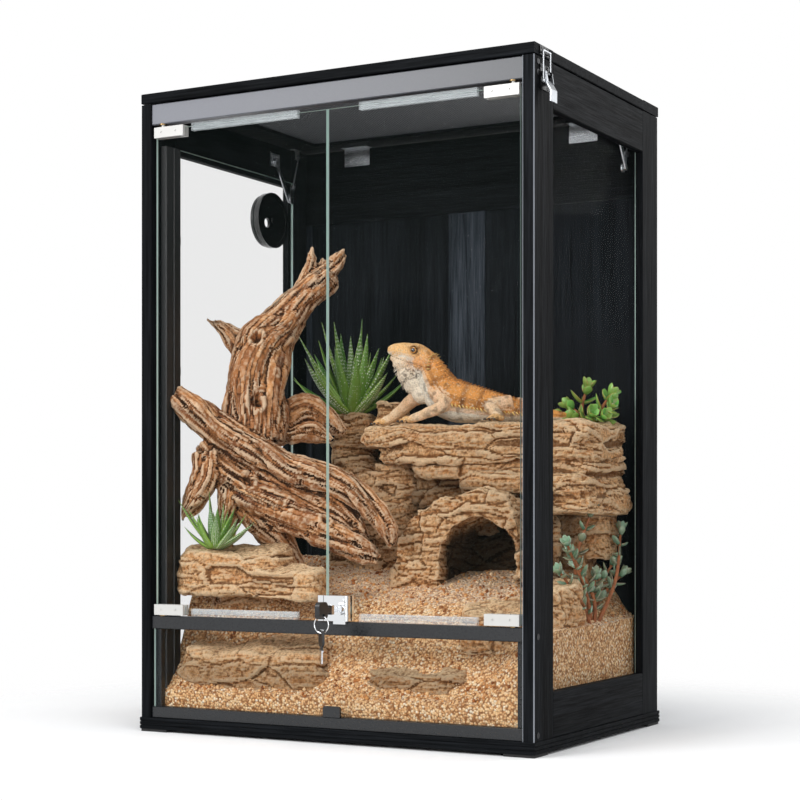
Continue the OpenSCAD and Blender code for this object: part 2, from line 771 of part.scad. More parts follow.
module door_hinges() {
    translate([0, 0, hinge_high]) hinge_block();
    translate([pivot_x, door_y, hinge_high - eps])
        cylinder(r = pivot_r, h = hinge_top_gap + pin_depth);
    translate([0, 0, hinge_low]) mirror([0, 0, 1]) hinge_block();
    translate([pivot_x, door_y, mid_top - pin_depth])
        cylinder(r = pivot_r, h = hinge_foot_gap + pin_depth + eps);
}

module right_door_hinges() { color("#eef0f1") door_hinges(); }
module left_door_hinges() { color("#eef0f1") mirror([1, 0, 0]) door_hinges(); }

// Soft channels pushed over the glass edges, above and below
module door_seals() {
    front = door_front - seal_wall;
    back = door_back + seal_wall;
    left = lock_right + seal_lock_gap;
    right = door_outer + hinge_block_over - hinge_block_l - seal_hinge_gap;
    difference() {
        union() {
            box([left, front, seal_high - seal_h], [right, back, seal_high]);
            box([left, front, seal_low], [right, back, seal_low + seal_h]);
        }
        box([left - 1, door_front, door_low], [right + 1, door_back, door_high]);
    }
}

module right_door_seals() { color("#dfe8ea", 0.5) door_seals(); }
module left_door_seals() { color("#dfe8ea", 0.5) mirror([1, 0, 0]) door_seals(); }

// ---------- lock ----------
// The way that the bolt slides in, with room around it
module bolt_way(left, right) {
    g = bolt_gap;
    box([left, bolt_front - g, bolt_z - bolt_h / 2 - g], [right, bolt_front + bolt_t + g, bolt_z + bolt_h / 2 + g]);
}

// A housing of the given ends that clamps the door's foot edge, front and back
module lock_shell(left, right) {
    box([left, lock_front, lock_low], [right, door_front, lock_low + lock_h]);
    box([left, door_back, lock_low], [right, lock_back, lock_low + lock_h]);
    box([left, door_front - eps, lock_low], [right, door_back + eps, door_low - fit]);
}

module lock_strike() {
    color("#e4e6e8") difference() {
        union() {
            lock_shell(strike_right - strike_w, strike_right);
            box([door_meet_x - door_gap / 2, lock_front, lock_low], [strike_right, lock_back, lock_low + lock_h]);
        }
        bolt_way(strike_right - strike_w + lock_wall, strike_right + 1);
    }
}

module lock_body() {
    color("#e4e6e8") difference() {
        union() {
            lock_shell(lock_left, lock_right - lock_round);
            box([lock_left, lock_front, lock_low], [door_meet_x + door_gap / 2, lock_back, lock_low + lock_h]);
            box([lock_right - lock_round - eps, door_back, lock_low], [lock_right, lock_back, lock_low + lock_h]);
            box([lock_right - lock_round - eps, lock_front + lock_round, lock_low],
                [lock_right, door_front, lock_low + lock_h]);
            translate([lock_right - lock_round, lock_front + lock_round, lock_low])
                cylinder(r = lock_round, h = lock_h);
            box([lock_cx - lock_tab_w / 2, lock_front, lock_low - lock_tab_h],
                [lock_cx + lock_tab_w / 2, lock_front + lock_tab_t, lock_low + eps]);
        }
        rod_y([lock_cx, door_y, lock_cz], cylinder_r + running_gap, 60);
        bolt_way(lock_left - 1, lock_left + bolt_gap + bolt_l + 1);
        rod_y([lock_right - 5, lock_front, lock_low + lock_h - 4], grub_r, 2 * grub_recess);
    }
}

module lock_cylinder() {
    color("#c9ccd0") difference() {
        union() {
            rod_y([lock_cx, (cylinder_front + cylinder_back) / 2, lock_cz], cylinder_r,
                  cylinder_back - cylinder_front);
            rod_y([lock_cx, lock_back + bolt_gap + cylinder_collar_t / 2, lock_cz], cylinder_r + 2,
                  cylinder_collar_t);
        }
        box([lock_cx - key_slot[0] / 2, cylinder_front - 1, lock_cz - key_slot[1] / 2],
            [lock_cx + key_slot[0] / 2, cylinder_front + blade_in + 1, lock_cz + key_slot[1] / 2]);
    }
}

module lock_bolt() {
    color("#9fa3a8")
        box([lock_left + bolt_gap, bolt_front, bolt_z - bolt_h / 2],
            [lock_left + bolt_gap + bolt_l, bolt_front + bolt_t, bolt_z + bolt_h / 2]);
}

// A key along -Z from its shoulder, with a flat head above; thickness across X
module key_shape(blade_l, shoulder, neck, hole_at, hole_r, thick) {
    box([-blade[0] / 2, -blade[1] / 2, -blade_l], [blade[0] / 2, blade[1] / 2, eps]);
    box([-thick / 2, -shoulder_w / 2, 0], [thick / 2, shoulder_w / 2, shoulder]);
    box([-thick / 2, -neck_w / 2, shoulder - eps], [thick / 2, neck_w / 2, shoulder + neck + 2]);
    difference() {
        translate([-thick / 2, 0, shoulder + neck + key_head_l / 2]) rotate([90, 0, 90])
            linear_extrude(thick) rounded(key_head_w, key_head_l, head_round);
        translate([0, hole_at[0], hole_at[1]]) rotate([0, 90, 0])
            cylinder(r = hole_r, h = 2 * thick, center = true);
    }
}

module key() {
    color("#1a1b1d") translate([lock_cx, cylinder_front - blade_out, lock_cz]) rotate([90, 0, 0])
        key_shape(blade_out + blade_in, shoulder_l, neck_l,
                  [-key_hole_in, shoulder_l + neck_l + key_head_l / 2], key_hole_r, head_t);
}

module key_ring() {
    color("#c9ccd0") translate([lock_cx, key_ring_y, ring_z]) rotate([90, 0, 0])
        rotate_extrude() translate([key_ring_r, 0]) circle(ring_wire);
}

module spare_key() {
    color("#1a1b1d") translate([lock_cx, key_ring_y, spare_hole_z - spare_hole_up]) rotate([0, 0, spare_turn])
        key_shape(spare_blade, spare_shoulder, spare_neck, [0, spare_hole_up], spare_hole_r, spare_t);
}

// ---------- lid ----------
module mesh_groove() {
    box([-mesh_x - mesh_lap, -mesh_y - mesh_lap, mesh_z], [mesh_x + mesh_lap, mesh_y + mesh_lap, mesh_z + mesh_t]);
}

module lid_frame() {
    color("#1f2124") difference() {
        union() {
            for (y = sides) translate([0, y * (back_y - lid_frame_w / 2), 0])
                rail_x([-half_w, -lid_frame_w / 2, lid_bottom], [half_w, lid_frame_w / 2, cabinet_h]);
            for (x = sides) translate([x * (half_w - lid_frame_w / 2), 0, 0])
                rail_y([-lid_frame_w / 2, -mesh_y - eps, lid_bottom], [lid_frame_w / 2, mesh_y + eps, cabinet_h]);
        }
        mesh_groove();
        for (x = hinge_screw_x) translate([x, lid_screw_y, lid_bottom - 1])
            cylinder(r = small_screw_r + snug, h = small_screw_l + 2);
    }
}

module lid_mesh() { color("#5a5d60") mesh_groove(); }

// The knuckles of one leaf: the two ends, or the middle
module knuckles(x, middle) {
    l = middle ? hinge_mid_l : hinge_end_l;
    at = middle ? [0] : [-1, 1];
    for (k = at) rod_x([x + k * (lid_hinge_w - hinge_end_l) / 2, hinge_y, hinge_z], knuckle_r, l);
}

module hinge_bore(x) { rod_x([x, hinge_y, hinge_z], hinge_pin_r + running_gap, lid_hinge_w + 2); }

// Bent over the back rail's top edge and down its inner face
module lid_hinge_back_leaves() {
    color("#b9bcc0") for (s = sides) {
        x = s * lid_hinge_x;
        difference() {
            union() {
                knuckles(x, false);
                box([x - lid_hinge_w / 2, back_face - leaf_t, board_top], [x + lid_hinge_w / 2, back_outer, board_top + leaf_t]);
                for (k = sides) translate([x + k * (lid_hinge_w - hinge_end_l) / 2, 0, 0])
                    box([-hinge_end_l / 2, back_outer - eps, board_top], [hinge_end_l / 2, hinge_y, board_top + leaf_t]);
                box([x - lid_hinge_w / 2, back_face - leaf_t, board_top - lid_leaf_drop],
                    [x + lid_hinge_w / 2, back_face, board_top + leaf_t]);
            }
            hinge_bore(x);
            for (k = sides) rod_y([x + k * hinge_screw_gap, back_face, hinge_screw_z], small_screw_r + snug, 5);
        }
    }
}

// Flat under the lid's rear member
module lid_hinge_lid_leaves() {
    color("#b9bcc0") for (s = sides) {
        x = s * lid_hinge_x;
        difference() {
            union() {
                knuckles(x, true);
                box([x - lid_hinge_w / 2, back_outer - lid_leaf_l, lid_bottom - leaf_t],
                    [x + lid_hinge_w / 2, back_outer, lid_bottom]);
                box([x - hinge_mid_l / 2, back_outer - eps, lid_bottom - leaf_t],
                    [x + hinge_mid_l / 2, hinge_y, lid_bottom]);
            }
            hinge_bore(x);
            for (k = sides) translate([x + k * hinge_screw_gap, lid_screw_y, lid_bottom - 2])
                cylinder(r = small_screw_r + snug, h = 4);
        }
        for (k = sides) translate([x + k * hinge_screw_gap, lid_screw_y, lid_bottom - leaf_t]) rotate([180, 0, 0])
            screw(small_head_r, small_head_t, small_screw_r, small_screw_l);
    }
}

module lid_hinge_pins() {
    color("#d0d3d6") for (s = sides) rod_x([s * lid_hinge_x, hinge_y, hinge_z], hinge_pin_r, lid_hinge_w);
}

module lid_hinge_screws() {
    color("#d0d3d6") for (x = hinge_screw_x)
        translate([x, back_face - leaf_t, hinge_screw_z]) rotate([90, 0, 0])
            screw(small_head_r, small_head_t, small_screw_r, small_screw_l);
}

// ---------- folding stays ----------
module stay_side_brackets() {
    plate_x = inner_x - stay_plate_t;
    stud_end = stay_lower_x - stay_bar_t - 0.3 - stay_cap_t;
    color("#c9ccd0") both_sides() {
        difference() {
            box([plate_x, stay_side[0] - 13, stay_side[1] - 8],
                [inner_x, stay_side[0] + 13, stay_screw_z + 4]);
            for (y = stay_screw_y) rod_x([inner_x, y, stay_screw_z], small_screw_r + snug, 3 * stay_plate_t);
        }
        rod_x([(stud_end + plate_x) / 2, stay_side[0], stay_side[1]], stay_pin_r, plate_x - stud_end + eps);
        rod_x([stud_end + stay_cap_t / 2, stay_side[0], stay_side[1]], stay_pin_r + 1.5, stay_cap_t);
        for (y = stay_screw_y) translate([plate_x, y, stay_screw_z]) rotate([0, -90, 0])
            screw(small_head_r, small_head_t, small_screw_r, small_screw_l + stay_plate_t);
    }
}

// From the side bracket to the elbow, with the elbow's pin and knob
module stay_lower_arm() {
    pin_end = stay_upper_x - stay_bar_t - stay_knob_t - 0.3;
    difference() {
        bar_yz(stay_side, stay_elbow, stay_lower_x - stay_bar_t, stay_bar_t, stay_bar_w);
        rod_x([stay_lower_x, stay_side[0], stay_side[1]], stay_pin_r + running_gap, 3 * stay_bar_t);
    }
    rod_x([(stay_lower_x - stay_bar_t + pin_end) / 2, stay_elbow[0], stay_elbow[1]], stay_pin_r,
          stay_lower_x - stay_bar_t - pin_end + 2 * eps);
    rod_x([pin_end + stay_knob_t / 2, stay_elbow[0], stay_elbow[1]], stay_knob_r, stay_knob_t);
}

// From the elbow to the lid: a short strap, a knurled nut and a rod with an eye
module stay_upper_arm() {
    joint = stay_elbow + stay_strap_share * (stay_lid - stay_elbow);
    mid_x = stay_upper_x - stay_bar_t / 2;
    rise = atan2(stay_lid[1] - stay_elbow[1], stay_lid[0] - stay_elbow[0]);
    rod_l = norm(stay_lid - joint) - stay_bar_w / 2 + 0.5;
    difference() {
        bar_yz(stay_elbow, joint, stay_upper_x - stay_bar_t, stay_bar_t, stay_bar_w);
        rod_x([stay_upper_x, stay_elbow[0], stay_elbow[1]], stay_pin_r + running_gap, 3 * stay_bar_t);
    }
    difference() {
        rod_x([mid_x, stay_lid[0], stay_lid[1]], stay_bar_w / 2, stay_bar_t);
        rod_x([mid_x, stay_lid[0], stay_lid[1]], stay_pin_r + running_gap, 2 * stay_bar_t);
    }
    translate([mid_x, joint[0], joint[1]]) rotate([rise - 90, 0, 0]) {
        cylinder(r = stay_rod_r, h = rod_l);
        translate([0, 0, 4]) cylinder(r = stay_nut_r, h = 6);
    }
}

module right_stay_lower_arm() { color("#d0d3d6") stay_lower_arm(); }
module left_stay_lower_arm() { color("#d0d3d6") mirror([1, 0, 0]) stay_lower_arm(); }
module right_stay_upper_arm() { color("#8d9094") stay_upper_arm(); }
module left_stay_upper_arm() { color("#8d9094") mirror([1, 0, 0]) stay_upper_arm(); }

module stay_lid_brackets() {
    ear_x = stay_lower_x - stay_bar_t;
    color("#c9ccd0") both_sides() difference() {
        union() {
            box([ear_x, stay_lid[0] - 10, lid_bottom - leaf_t],
                [ear_x + stay_foot_w, stay_lid[0] + 10, lid_bottom]);
            box([ear_x, stay_lid[0] - 5, stay_lid[1]], [ear_x + stay_bar_t, stay_lid[0] + 5, lid_bottom]);
            rod_x([ear_x + stay_bar_t / 2, stay_lid[0], stay_lid[1]], 5, stay_bar_t);
        }
        rod_x([ear_x, stay_lid[0], stay_lid[1]], stay_pin_r + running_gap, 4 * stay_bar_t);
    }
}

// ---------- draw latch ----------
module latch_ears(gap, t) {
    for (s = sides) translate([0, latch_y + s * (gap + t) / 2, 0]) children();
}

module latch_base() {
    color("#17181a") {
        difference() {
            box([half_w, latch_y - latch_w / 2, latch_pivot[1] - 20],
                [half_w + latch_base_t, latch_y + latch_w / 2, latch_pivot[1] + 12]);
            for (z = latch_screw_z, y = sides)
                rod_x([half_w, latch_y + y * latch_screw_y, z], small_screw_r + snug, 4 * latch_base_t);
        }
        latch_ears(latch_ear_gap, latch_ear_t) difference() {
            union() {
                translate([half_w + latch_base_t - eps, -latch_ear_t / 2, latch_pivot[1] - latch_ear_r])
                    cube([latch_pivot[0] - half_w - latch_base_t, latch_ear_t, 2 * latch_ear_r]);
                rod_y([latch_pivot[0], 0, latch_pivot[1]], latch_ear_r, latch_ear_t);
            }
            rod_y([latch_pivot[0], 0, latch_pivot[1]], latch_pin_r + running_gap, 2 * latch_ear_t);
        }
        for (z = latch_screw_z, y = sides)
            translate([half_w + latch_base_t, latch_y + y * latch_screw_y, z]) rotate([0, 90, 0])
                screw(small_head_r - 0.5, 0.6, small_screw_r, latch_screw_l + latch_base_t);
    }
}

// Two cheeks around the ears, a sloping plate and a finger tab, with both pins
module latch_lever() {
    slope = bail_pin + [latch_reach, -latch_drop];
    color("#c9ccd0") {
        latch_ears(lever_cheek_gap, latch_ear_t) rotate([90, 0, 0])
            translate([0, 0, -latch_ear_t / 2]) linear_extrude(latch_ear_t) {
                translate(latch_pivot) circle(latch_ear_r - 0.5);
                translate(bail_pin) circle(lever_end_r);
                polygon([latch_pivot + [-2.2, 0], latch_pivot + [2.6, 0], bail_pin + [6, -2], bail_pin + [2, -2.2],
                         bail_pin + [-1.6, -1]]);
            }
        rod_y([latch_pivot[0], latch_y, latch_pivot[1]], latch_pin_r, lever_cheek_gap + latch_ear_t);
        rod_y([bail_pin[0], latch_y, bail_pin[1]], bail_pin_r, bail_w + 2 * bail_eye_t);
        translate([0, latch_y + lever_w / 2, 0]) rotate([90, 0, 0]) linear_extrude(lever_w)
            polygon([bail_pin + [1.4, -0.8], bail_pin + [3.4, 0.6], slope + [0.8, 0.4], slope + [0.8, -latch_tab],
                     slope + [-0.8, -latch_tab], slope + [-0.8, 0]]);
    }
}

// A wire loop from the lever's pin up past the keeper
module latch_bail() {
    color("#b9bcc0") {
        for (s = sides) translate([0, latch_y + s * bail_w / 2, 0]) {
            difference() {
                rod_y([bail_pin[0], 0, bail_pin[1]], bail_eye_r, bail_eye_t);
                rod_y([bail_pin[0], 0, bail_pin[1]], bail_pin_r + running_gap, 2 * bail_eye_t);
            }
            translate([bail_pin[0], 0, bail_pin[1] + bail_eye_r - 0.5])
                cylinder(r = bail_wire - 0.1, h = bail_top - bail_pin[1] - bail_eye_r + 0.5);
        }
        rod_y([bail_pin[0], latch_y, bail_top], bail_wire, bail_w + 2 * bail_wire);
    }
}

module latch_keeper() {
    plate_h = lid_t - 2;
    mid_z = lid_bottom + lid_t / 2;
    lip = bail_pin[0] - bail_wire - 0.4;
    color("#17181a") {
        box([half_w, latch_y - latch_w / 2, mid_z - plate_h / 2],
            [half_w + keeper_t, latch_y + latch_w / 2, mid_z + plate_h / 2]);
        box([half_w, latch_y - latch_w / 2 + 2, keeper_lip_z - keeper_t],
            [lip, latch_y + latch_w / 2 - 2, keeper_lip_z]);
        for (k = [-1, 0, 1]) rod_x([half_w + keeper_t + 0.2, latch_y + k * 8, mid_z + 3], 1.6, 0.5);
    }
}

// ---------- cable port in the left pane ----------
module port_cable_hole() {
    rod_x([-pane_x, port_y + port_offset[0], port_z + port_offset[1]], cable_hole_r, 60);
}

module port_body() {
    web_x = port_in_x + port_web_back;
    color("#141517") {
        difference() {
            union() {
                rod_x([port_in_x + port_flange_t / 2, port_y, port_z], port_r, port_flange_t);
                rod_x([port_in_x - port_sleeve_l / 2, port_y, port_z], port_sleeve_r, port_sleeve_l + 2 * eps);
            }
            rod_x([web_x + port_web_t + 10, port_y, port_z], port_shutter_r + port_gap, 20);
            rod_x([web_x - 20, port_y, port_z], port_sleeve_r - 3, 40);
            port_cable_hole();
        }
        rod_x([web_x + port_web_t + port_pin_l / 2 - 0.5, port_y, port_z], port_pin_r, port_pin_l + 1);
        rod_x([web_x + port_web_t + port_pin_l + 0.5, port_y, port_z], port_pin_r + 2, 1);
    }
}

module port_nut() {
    color("#141517") difference() {
        rod_x([-pane_x - port_nut_t / 2, port_y, port_z], port_r - 3, port_nut_t);
        rod_x([-pane_x, port_y, port_z], port_sleeve_r + snug, 30);
    }
}

// A disc that turns on the port's pin; its hole lines up to let a cable through
module port_shutter() {
    face_x = port_in_x + port_web_back + port_web_t + port_gap;
    color("#1d1f22") difference() {
        rod_x([face_x + port_shutter_t / 2, port_y, port_z], port_shutter_r, port_shutter_t);
        rod_x([face_x, port_y, port_z], port_pin_r + running_gap, 10);
        port_cable_hole();
    }
}

// ---------- furnishing ----------
function blend(t) = let (u = min(1, max(0, t))) u * u * (3 - 2 * u);
// Height of the sand above the base board; y is measured in a cabinet of the usual depth
function ground(x, y) =
    let (mid = lookup(y, sand_middle),
         left = blend((-x - 100) / 60), right = blend((x - inner_x + 90) / 85))
    mid + left * (lookup(y, sand_left) - mid) + right * (lookup(y, sand_right) - mid)
        + 3 * wobble(x / 37, y / 29) * (1 - right);

module substrate() {
    nx = 18;
    ny = 14;
    front = rail_back + bolt_gap;
    back = back_face - bolt_gap;
    function px(i) = -sand_edge + 2 * sand_edge * i / nx;
    function py(j) = front + (back - front) * j / ny;
    top = [for (j = [0 : ny]) for (i = [0 : nx]) [px(i), py(j), base_top + ground(px(i), py(j))]];
    n = len(top);
    foot = [for (p = top) [p[0], p[1], base_top]];
    row = nx + 1;
    quads = [for (j = [0 : ny - 1]) for (i = [0 : nx - 1]) j * row + i];
    rim = concat([for (i = [0 : nx - 1]) [i, i + 1]], [for (j = [0 : ny - 1]) [j * row + nx, (j + 1) * row + nx]],
                 [for (i = [nx : -1 : 1]) [ny * row + i, ny * row + i - 1]],
                 [for (j = [ny : -1 : 1]) [j * row, (j - 1) * row]]);
    color("#c9a778") polyhedron(concat(top, foot), concat(
        [for (q = quads) each [[q, q + row, q + 1], [q + 1, q + row, q + row + 1]]],
        [for (q = quads) each [[n + q, n + q + 1, n + q + row], [n + q + 1, n + q + row + 1, n + q + row]]],
        [for (e = rim) each [[e[0], e[1], n + e[0]], [e[1], n + e[1], n + e[0]]]]), convexity = 6);
}

// A frame that starts at the inside of the left or right wall, on the base board
module from_left() { translate([-inner_x, 0, base_top]) children(); }
module from_right() { translate([inner_x, 0, base_top]) children(); }

// What stands in the cabinet, trimmed clear of its walls
module trimmed() {
    intersection() {
        union() children();
        box([-sand_edge, rail_back + bolt_gap, base_top + 1], [sand_edge, back_face - bolt_gap, open_high]);
    }
}

module driftwood() {
    color("#8f6240") trimmed() from_left() {
        limb(trunk, [50, 52, 50, 48, 44, 35, 27, 24, 18], 12);
        limb(limb_upper, [21, 26, 29, 30, 28, 26, 25, 24, 22, 20, 13], 10);
        limb(limb_middle, [26, 30, 28, 24, 18, 8], 9);
        limb(limb_lower, [20, 28, 32, 34, 32, 28, 24, 15], 10);
        limb(limb_back, [22, 24, 20, 13], 9);
        limb(limb_back_low, [14, 16, 10], 8);
        limb(root_left, [20, 22, 18, 12], 8);
        limb(root_middle, [20, 20, 18, 14], 8);
        limb(root_right, [32, 28, 22, 20, 16], 9);
        limb(stub, [22, 15, 10, 5], 8);
        for (t = twigs) limb(t, [14, 9, 5], 7);
    }
}

module rock_ledge() {
    d = back_face - 5;
    color("#b08a5e") trimmed() from_right() {
        stone([-ledge_l / 2, d / 2, slab_low], [ledge_l, d, slab_t], 1, 0, 13, 0.96);
        stone([-116, d / 2 + 22, under_slab_low], [228, d - 56, under_slab_t], 2, 0, 11, 0.95);
        stone([-118, d / 2 + 35, arch_clear], [130, d - 88, under_slab_low - arch_clear], 3, 0, 10, 0.93);
        stone([-117, d / 2 + 35, 110], [112, d - 92, arch_clear - 110], 4, 0, 9, 0.95);
    }
}

module rock_cave() {
    color("#a37f56") translate([0, -45, base_top]) rotate([90, 0, 0])
        translate([0, 0, -arch_d]) linear_extrude(arch_d) polygon(arch_outline);
}

module loose_rocks() {
    color("#a9835a") trimmed() {
        from_left() {
            stone([89, -155, 119], [122, 60, 125], 5, 4);
            stone([196, -128, 120], [80, 40, 88], 6, -3);
            stone([148, -157, 30], [237, 70, 88], 7, 1, 11);
            stone([142, 128, 180], [96, 110, 140], 8, 12);
            stone([145, 128, 320.3], [92, 96, 51.4], 9, -8);
            stone([138, 125, 372], [78, 84, 78], 10, 20);
            stone([238, 80, 195], [78, 78, 115], 11, -6);
            stone([236, 85, 310.3], [72, 66, 60], 12, 8);
        }
        from_right() {
            stone([-186, -157, 35], [175, 44, 56], 13, -2, 10);
            stone([-83, -122, 110], [84, 44, 70], 14, 6);
            stone([-30, -66, 105], [48, 46, 92], 15, 3);
        }
    }
}

// One fleshy leaf from a base to a tip, bowed upwards
module leaf(base, tip, r) {
    middle = 0.55 * base + 0.45 * tip + [0, 0, -0.06 * norm(tip - base)];
    limb([base, middle, tip], [0.6 * r, r, 0.12 * r], 6);
}

// A whorl of leaves around c; spread is the tips' distance, rise their height
module rosette(c, count, spread, rise, r, seed) {
    for (i = [0 : count - 1]) {
        turn = 360 * i / count + 30 * wobble(i, seed);
        out = spread * (i % 2 == 0 ? 1 : 0.55);
        up = rise * (i % 2 == 0 ? 0.6 : 1);
        leaf(c, c + [out * cos(turn), out * sin(turn), up], r);
    }
}

// A stem from a root to a head, bowed a little
module stem(root, head) {
    limb([root, (root + head) / 2 + [0, 0, 0.1 * norm(head - root)], head], [5, 4, 3], 6);
}

module plants() {
    color("#4f7a45") trimmed() {
        from_left() {
            for (t = aloe_back_tips) leaf(aloe_back, t, 8);
            for (t = aloe_front_tips) leaf(aloe_front, t, 6);
        }
        from_right() {
            for (i = [0 : len(jade_heads) - 1]) {
                stem(jade_root, jade_heads[i]);
                rosette(jade_heads[i] - [0, 0, 2], 7, 17, 19, 5, i);
            }
            for (i = [0 : len(stonecrop_heads) - 1]) {
                stem(stonecrop_root, stonecrop_heads[i]);
                rosette(stonecrop_heads[i] - [0, 0, 2], 7, 15, 14, 4.5, i + 5);
            }
        }
    }
}

module bearded_dragon() {
    color("#c98a4e") translate([0, 0, base_top + ledge_z - dragon_sink]) {
        limb(dragon_spine, dragon_girth, 12);
        for (p = dragon_legs) limb(p, [10, 7, 4], 8);
    }
}

// ---------- the parts ----------
base_board();
feet();
front_left_stile();
front_right_stile();
rear_left_stile();
rear_right_stile();
left_side_rails();
right_side_rails();
left_glass();
right_glass();
side_glass_clips();
back_rails();
back_uprights();
back_panels();
front_top_rail();
front_mid_rail();
front_bottom_rail();
rail_screws();
lower_glass();
lower_glass_holders();
door_bushes();
left_door_glass();
right_door_glass();
left_door_hinges();
right_door_hinges();
left_door_seals();
right_door_seals();
lock_strike();
lock_body();
lock_cylinder();
lock_bolt();
key();
key_ring();
spare_key();
lid_frame();
lid_mesh();
lid_hinge_back_leaves();
lid_hinge_lid_leaves();
lid_hinge_pins();
lid_hinge_screws();
stay_side_brackets();
left_stay_lower_arm();
left_stay_upper_arm();
right_stay_lower_arm();
right_stay_upper_arm();
stay_lid_brackets();
latch_base();
latch_lever();
latch_bail();
latch_keeper();
port_body();
port_nut();
port_shutter();
substrate();
driftwood();
rock_ledge();
rock_cave();
loose_rocks();
plants();
bearded_dragon();
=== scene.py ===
import bpy
import numpy as np
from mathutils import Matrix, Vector, kdtree


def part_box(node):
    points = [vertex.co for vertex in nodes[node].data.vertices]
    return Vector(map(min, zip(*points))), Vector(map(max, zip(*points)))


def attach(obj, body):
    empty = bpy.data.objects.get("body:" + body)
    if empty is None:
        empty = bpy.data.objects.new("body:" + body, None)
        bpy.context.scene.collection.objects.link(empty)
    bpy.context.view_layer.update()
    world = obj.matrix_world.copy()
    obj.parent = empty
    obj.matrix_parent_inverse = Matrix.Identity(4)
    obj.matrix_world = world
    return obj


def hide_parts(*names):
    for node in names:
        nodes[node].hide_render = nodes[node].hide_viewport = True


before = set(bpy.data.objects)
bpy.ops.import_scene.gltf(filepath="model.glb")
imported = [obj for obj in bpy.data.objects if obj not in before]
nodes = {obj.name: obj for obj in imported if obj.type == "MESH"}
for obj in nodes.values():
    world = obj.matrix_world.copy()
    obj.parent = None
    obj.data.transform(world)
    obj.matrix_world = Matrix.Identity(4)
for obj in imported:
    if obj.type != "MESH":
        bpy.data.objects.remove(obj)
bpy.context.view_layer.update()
MM = 0.001
NOISE = (0.3, 0.7)   # where nearly all of a noise's values lie
GRAINS = 310         # sand grains in a metre
SCALES = 520         # lizard scales in a metre
WOOD_VOXEL, STONE_VOXEL, SKIN_VOXEL = 2.1, 2.2, 1.35   # how fine a fused skin is, in mm

# ---- node graphs


class Nodes:
    """A node tree filled by a few calls; every call gives back a socket. A colour is a hex text or a linear one."""

    def __init__(self, owner):
        owner.use_nodes = True
        self.tree = owner.node_tree
        self.tree.nodes.clear()

    def put(self, socket, value):
        if isinstance(value, bpy.types.NodeSocket):
            self.tree.links.new(value, socket)
        elif socket.type == "RGBA":
            socket.default_value = (*linear(value), 1)
        else:
            socket.default_value = value

    def node(self, kind, inputs=(), out=0, **props):
        n = self.tree.nodes.new("ShaderNode" + kind)
        for key, value in props.items():
            setattr(n, key, value)
        for key, value in dict(inputs).items():
            self.put(n.inputs[key], value)
        return None if out is None else n.outputs[out]

    def coords(self, scale=(1, 1, 1)):
        return self.node("Mapping", {"Vector": self.node("TexCoord", out="Object"), "Scale": scale})

    def part(self, axis, of="Object"):
        """One coordinate of the place in the object, or of the normal."""
        return self.node("SeparateXYZ", {0: self.node("TexCoord", out=of)}, out=axis)

    def attribute(self, name, out="Fac"):
        return self.node("Attribute", out=out, attribute_name=name)

    def noise(self, vector, scale, detail=4, rough=0.55, distort=0.0):
        return self.node("TexNoise", {"Vector": vector, "Scale": scale, "Detail": detail,
                                      "Roughness": rough, "Distortion": distort})

    def cells(self, vector, scale, out="Distance", random=1.0):
        return self.node("TexVoronoi", {"Vector": vector, "Scale": scale, "Randomness": random}, out=out)

    def pick(self, vector, scale):
        """A random value for each cell."""
        return self.node("SeparateColor", {0: self.cells(vector, scale, out="Color")})

    def math(self, op, a, b=0.0):
        return self.node("Math", {0: a, 1: b}, operation=op)

    def times(self, a, b):
        return self.math("MULTIPLY", a, b)

    def plus(self, a, b):
        return self.math("ADD", a, b)

    def span(self, value, low, high, to_low=0.0, to_high=1.0):
        return self.node("MapRange", {0: value, 1: low, 2: high, 3: to_low, 4: to_high})

    def ramp(self, value, *stops):
        n = self.tree.nodes.new("ShaderNodeValToRGB")
        self.put(n.inputs[0], value)
        e = n.color_ramp.elements
        while len(e) < len(stops):
            e.new(0.5)
        for item, (at, colour) in zip(e, stops):
            item.position = at
            item.color = (*linear(colour), 1)
        return n.outputs[0]

    def mix(self, share, a, b, blend="MIX"):
        return self.node("Mix", {0: share, 6: a, 7: b}, out=2, data_type="RGBA", blend_type=blend)


class Graph(Nodes):
    """A Principled material; constants are its fixed inputs."""

    def __init__(self, name, **constants):
        self.mat = bpy.data.materials.new(name)
        super().__init__(self.mat)
        self.bsdf = self.tree.nodes.new("ShaderNodeBsdfPrincipled")
        self.node("OutputMaterial", {0: self.bsdf.outputs[0]}, out=None)
        for key, value in constants.items():
            self.put(self.bsdf.inputs[key.replace("_", " ")], value)

    def made(self, colour, sheen=None, relief=None, alpha=None):
        """The material with its colour, its sheen as (noise, roughness at its low, at its high), its relief as
        (height, metres, strength) and its alpha."""
        found = {"Base Color": colour}
        if sheen:
            noise, *ends = sheen
            found["Roughness"] = self.span(noise, *NOISE, *ends)
        if relief:
            found["Normal"] = self.node("Bump", dict(zip(("Height", "Distance", "Strength"), relief)))
        if alpha:
            found["Alpha"] = alpha
        for key, value in found.items():
            self.put(self.bsdf.inputs[key], value)
        return self.mat


def linear(colour, share=1.0):
    """A linear colour from a hex text or a linear one, darkened or brightened by a share."""
    if isinstance(colour, str):
        v = [int(colour[i:i + 2], 16) / 255 for i in (1, 3, 5)]
        colour = [c / 12.92 if c <= 0.04045 else ((c + 0.055) / 1.055) ** 2.4 for c in v]
    return tuple(min(1, c * share) for c in colour)


def stretched(along, share):
    """Scales that draw a pattern out along one axis."""
    return [share if axis == along else 1.0 for axis in "xyz"]


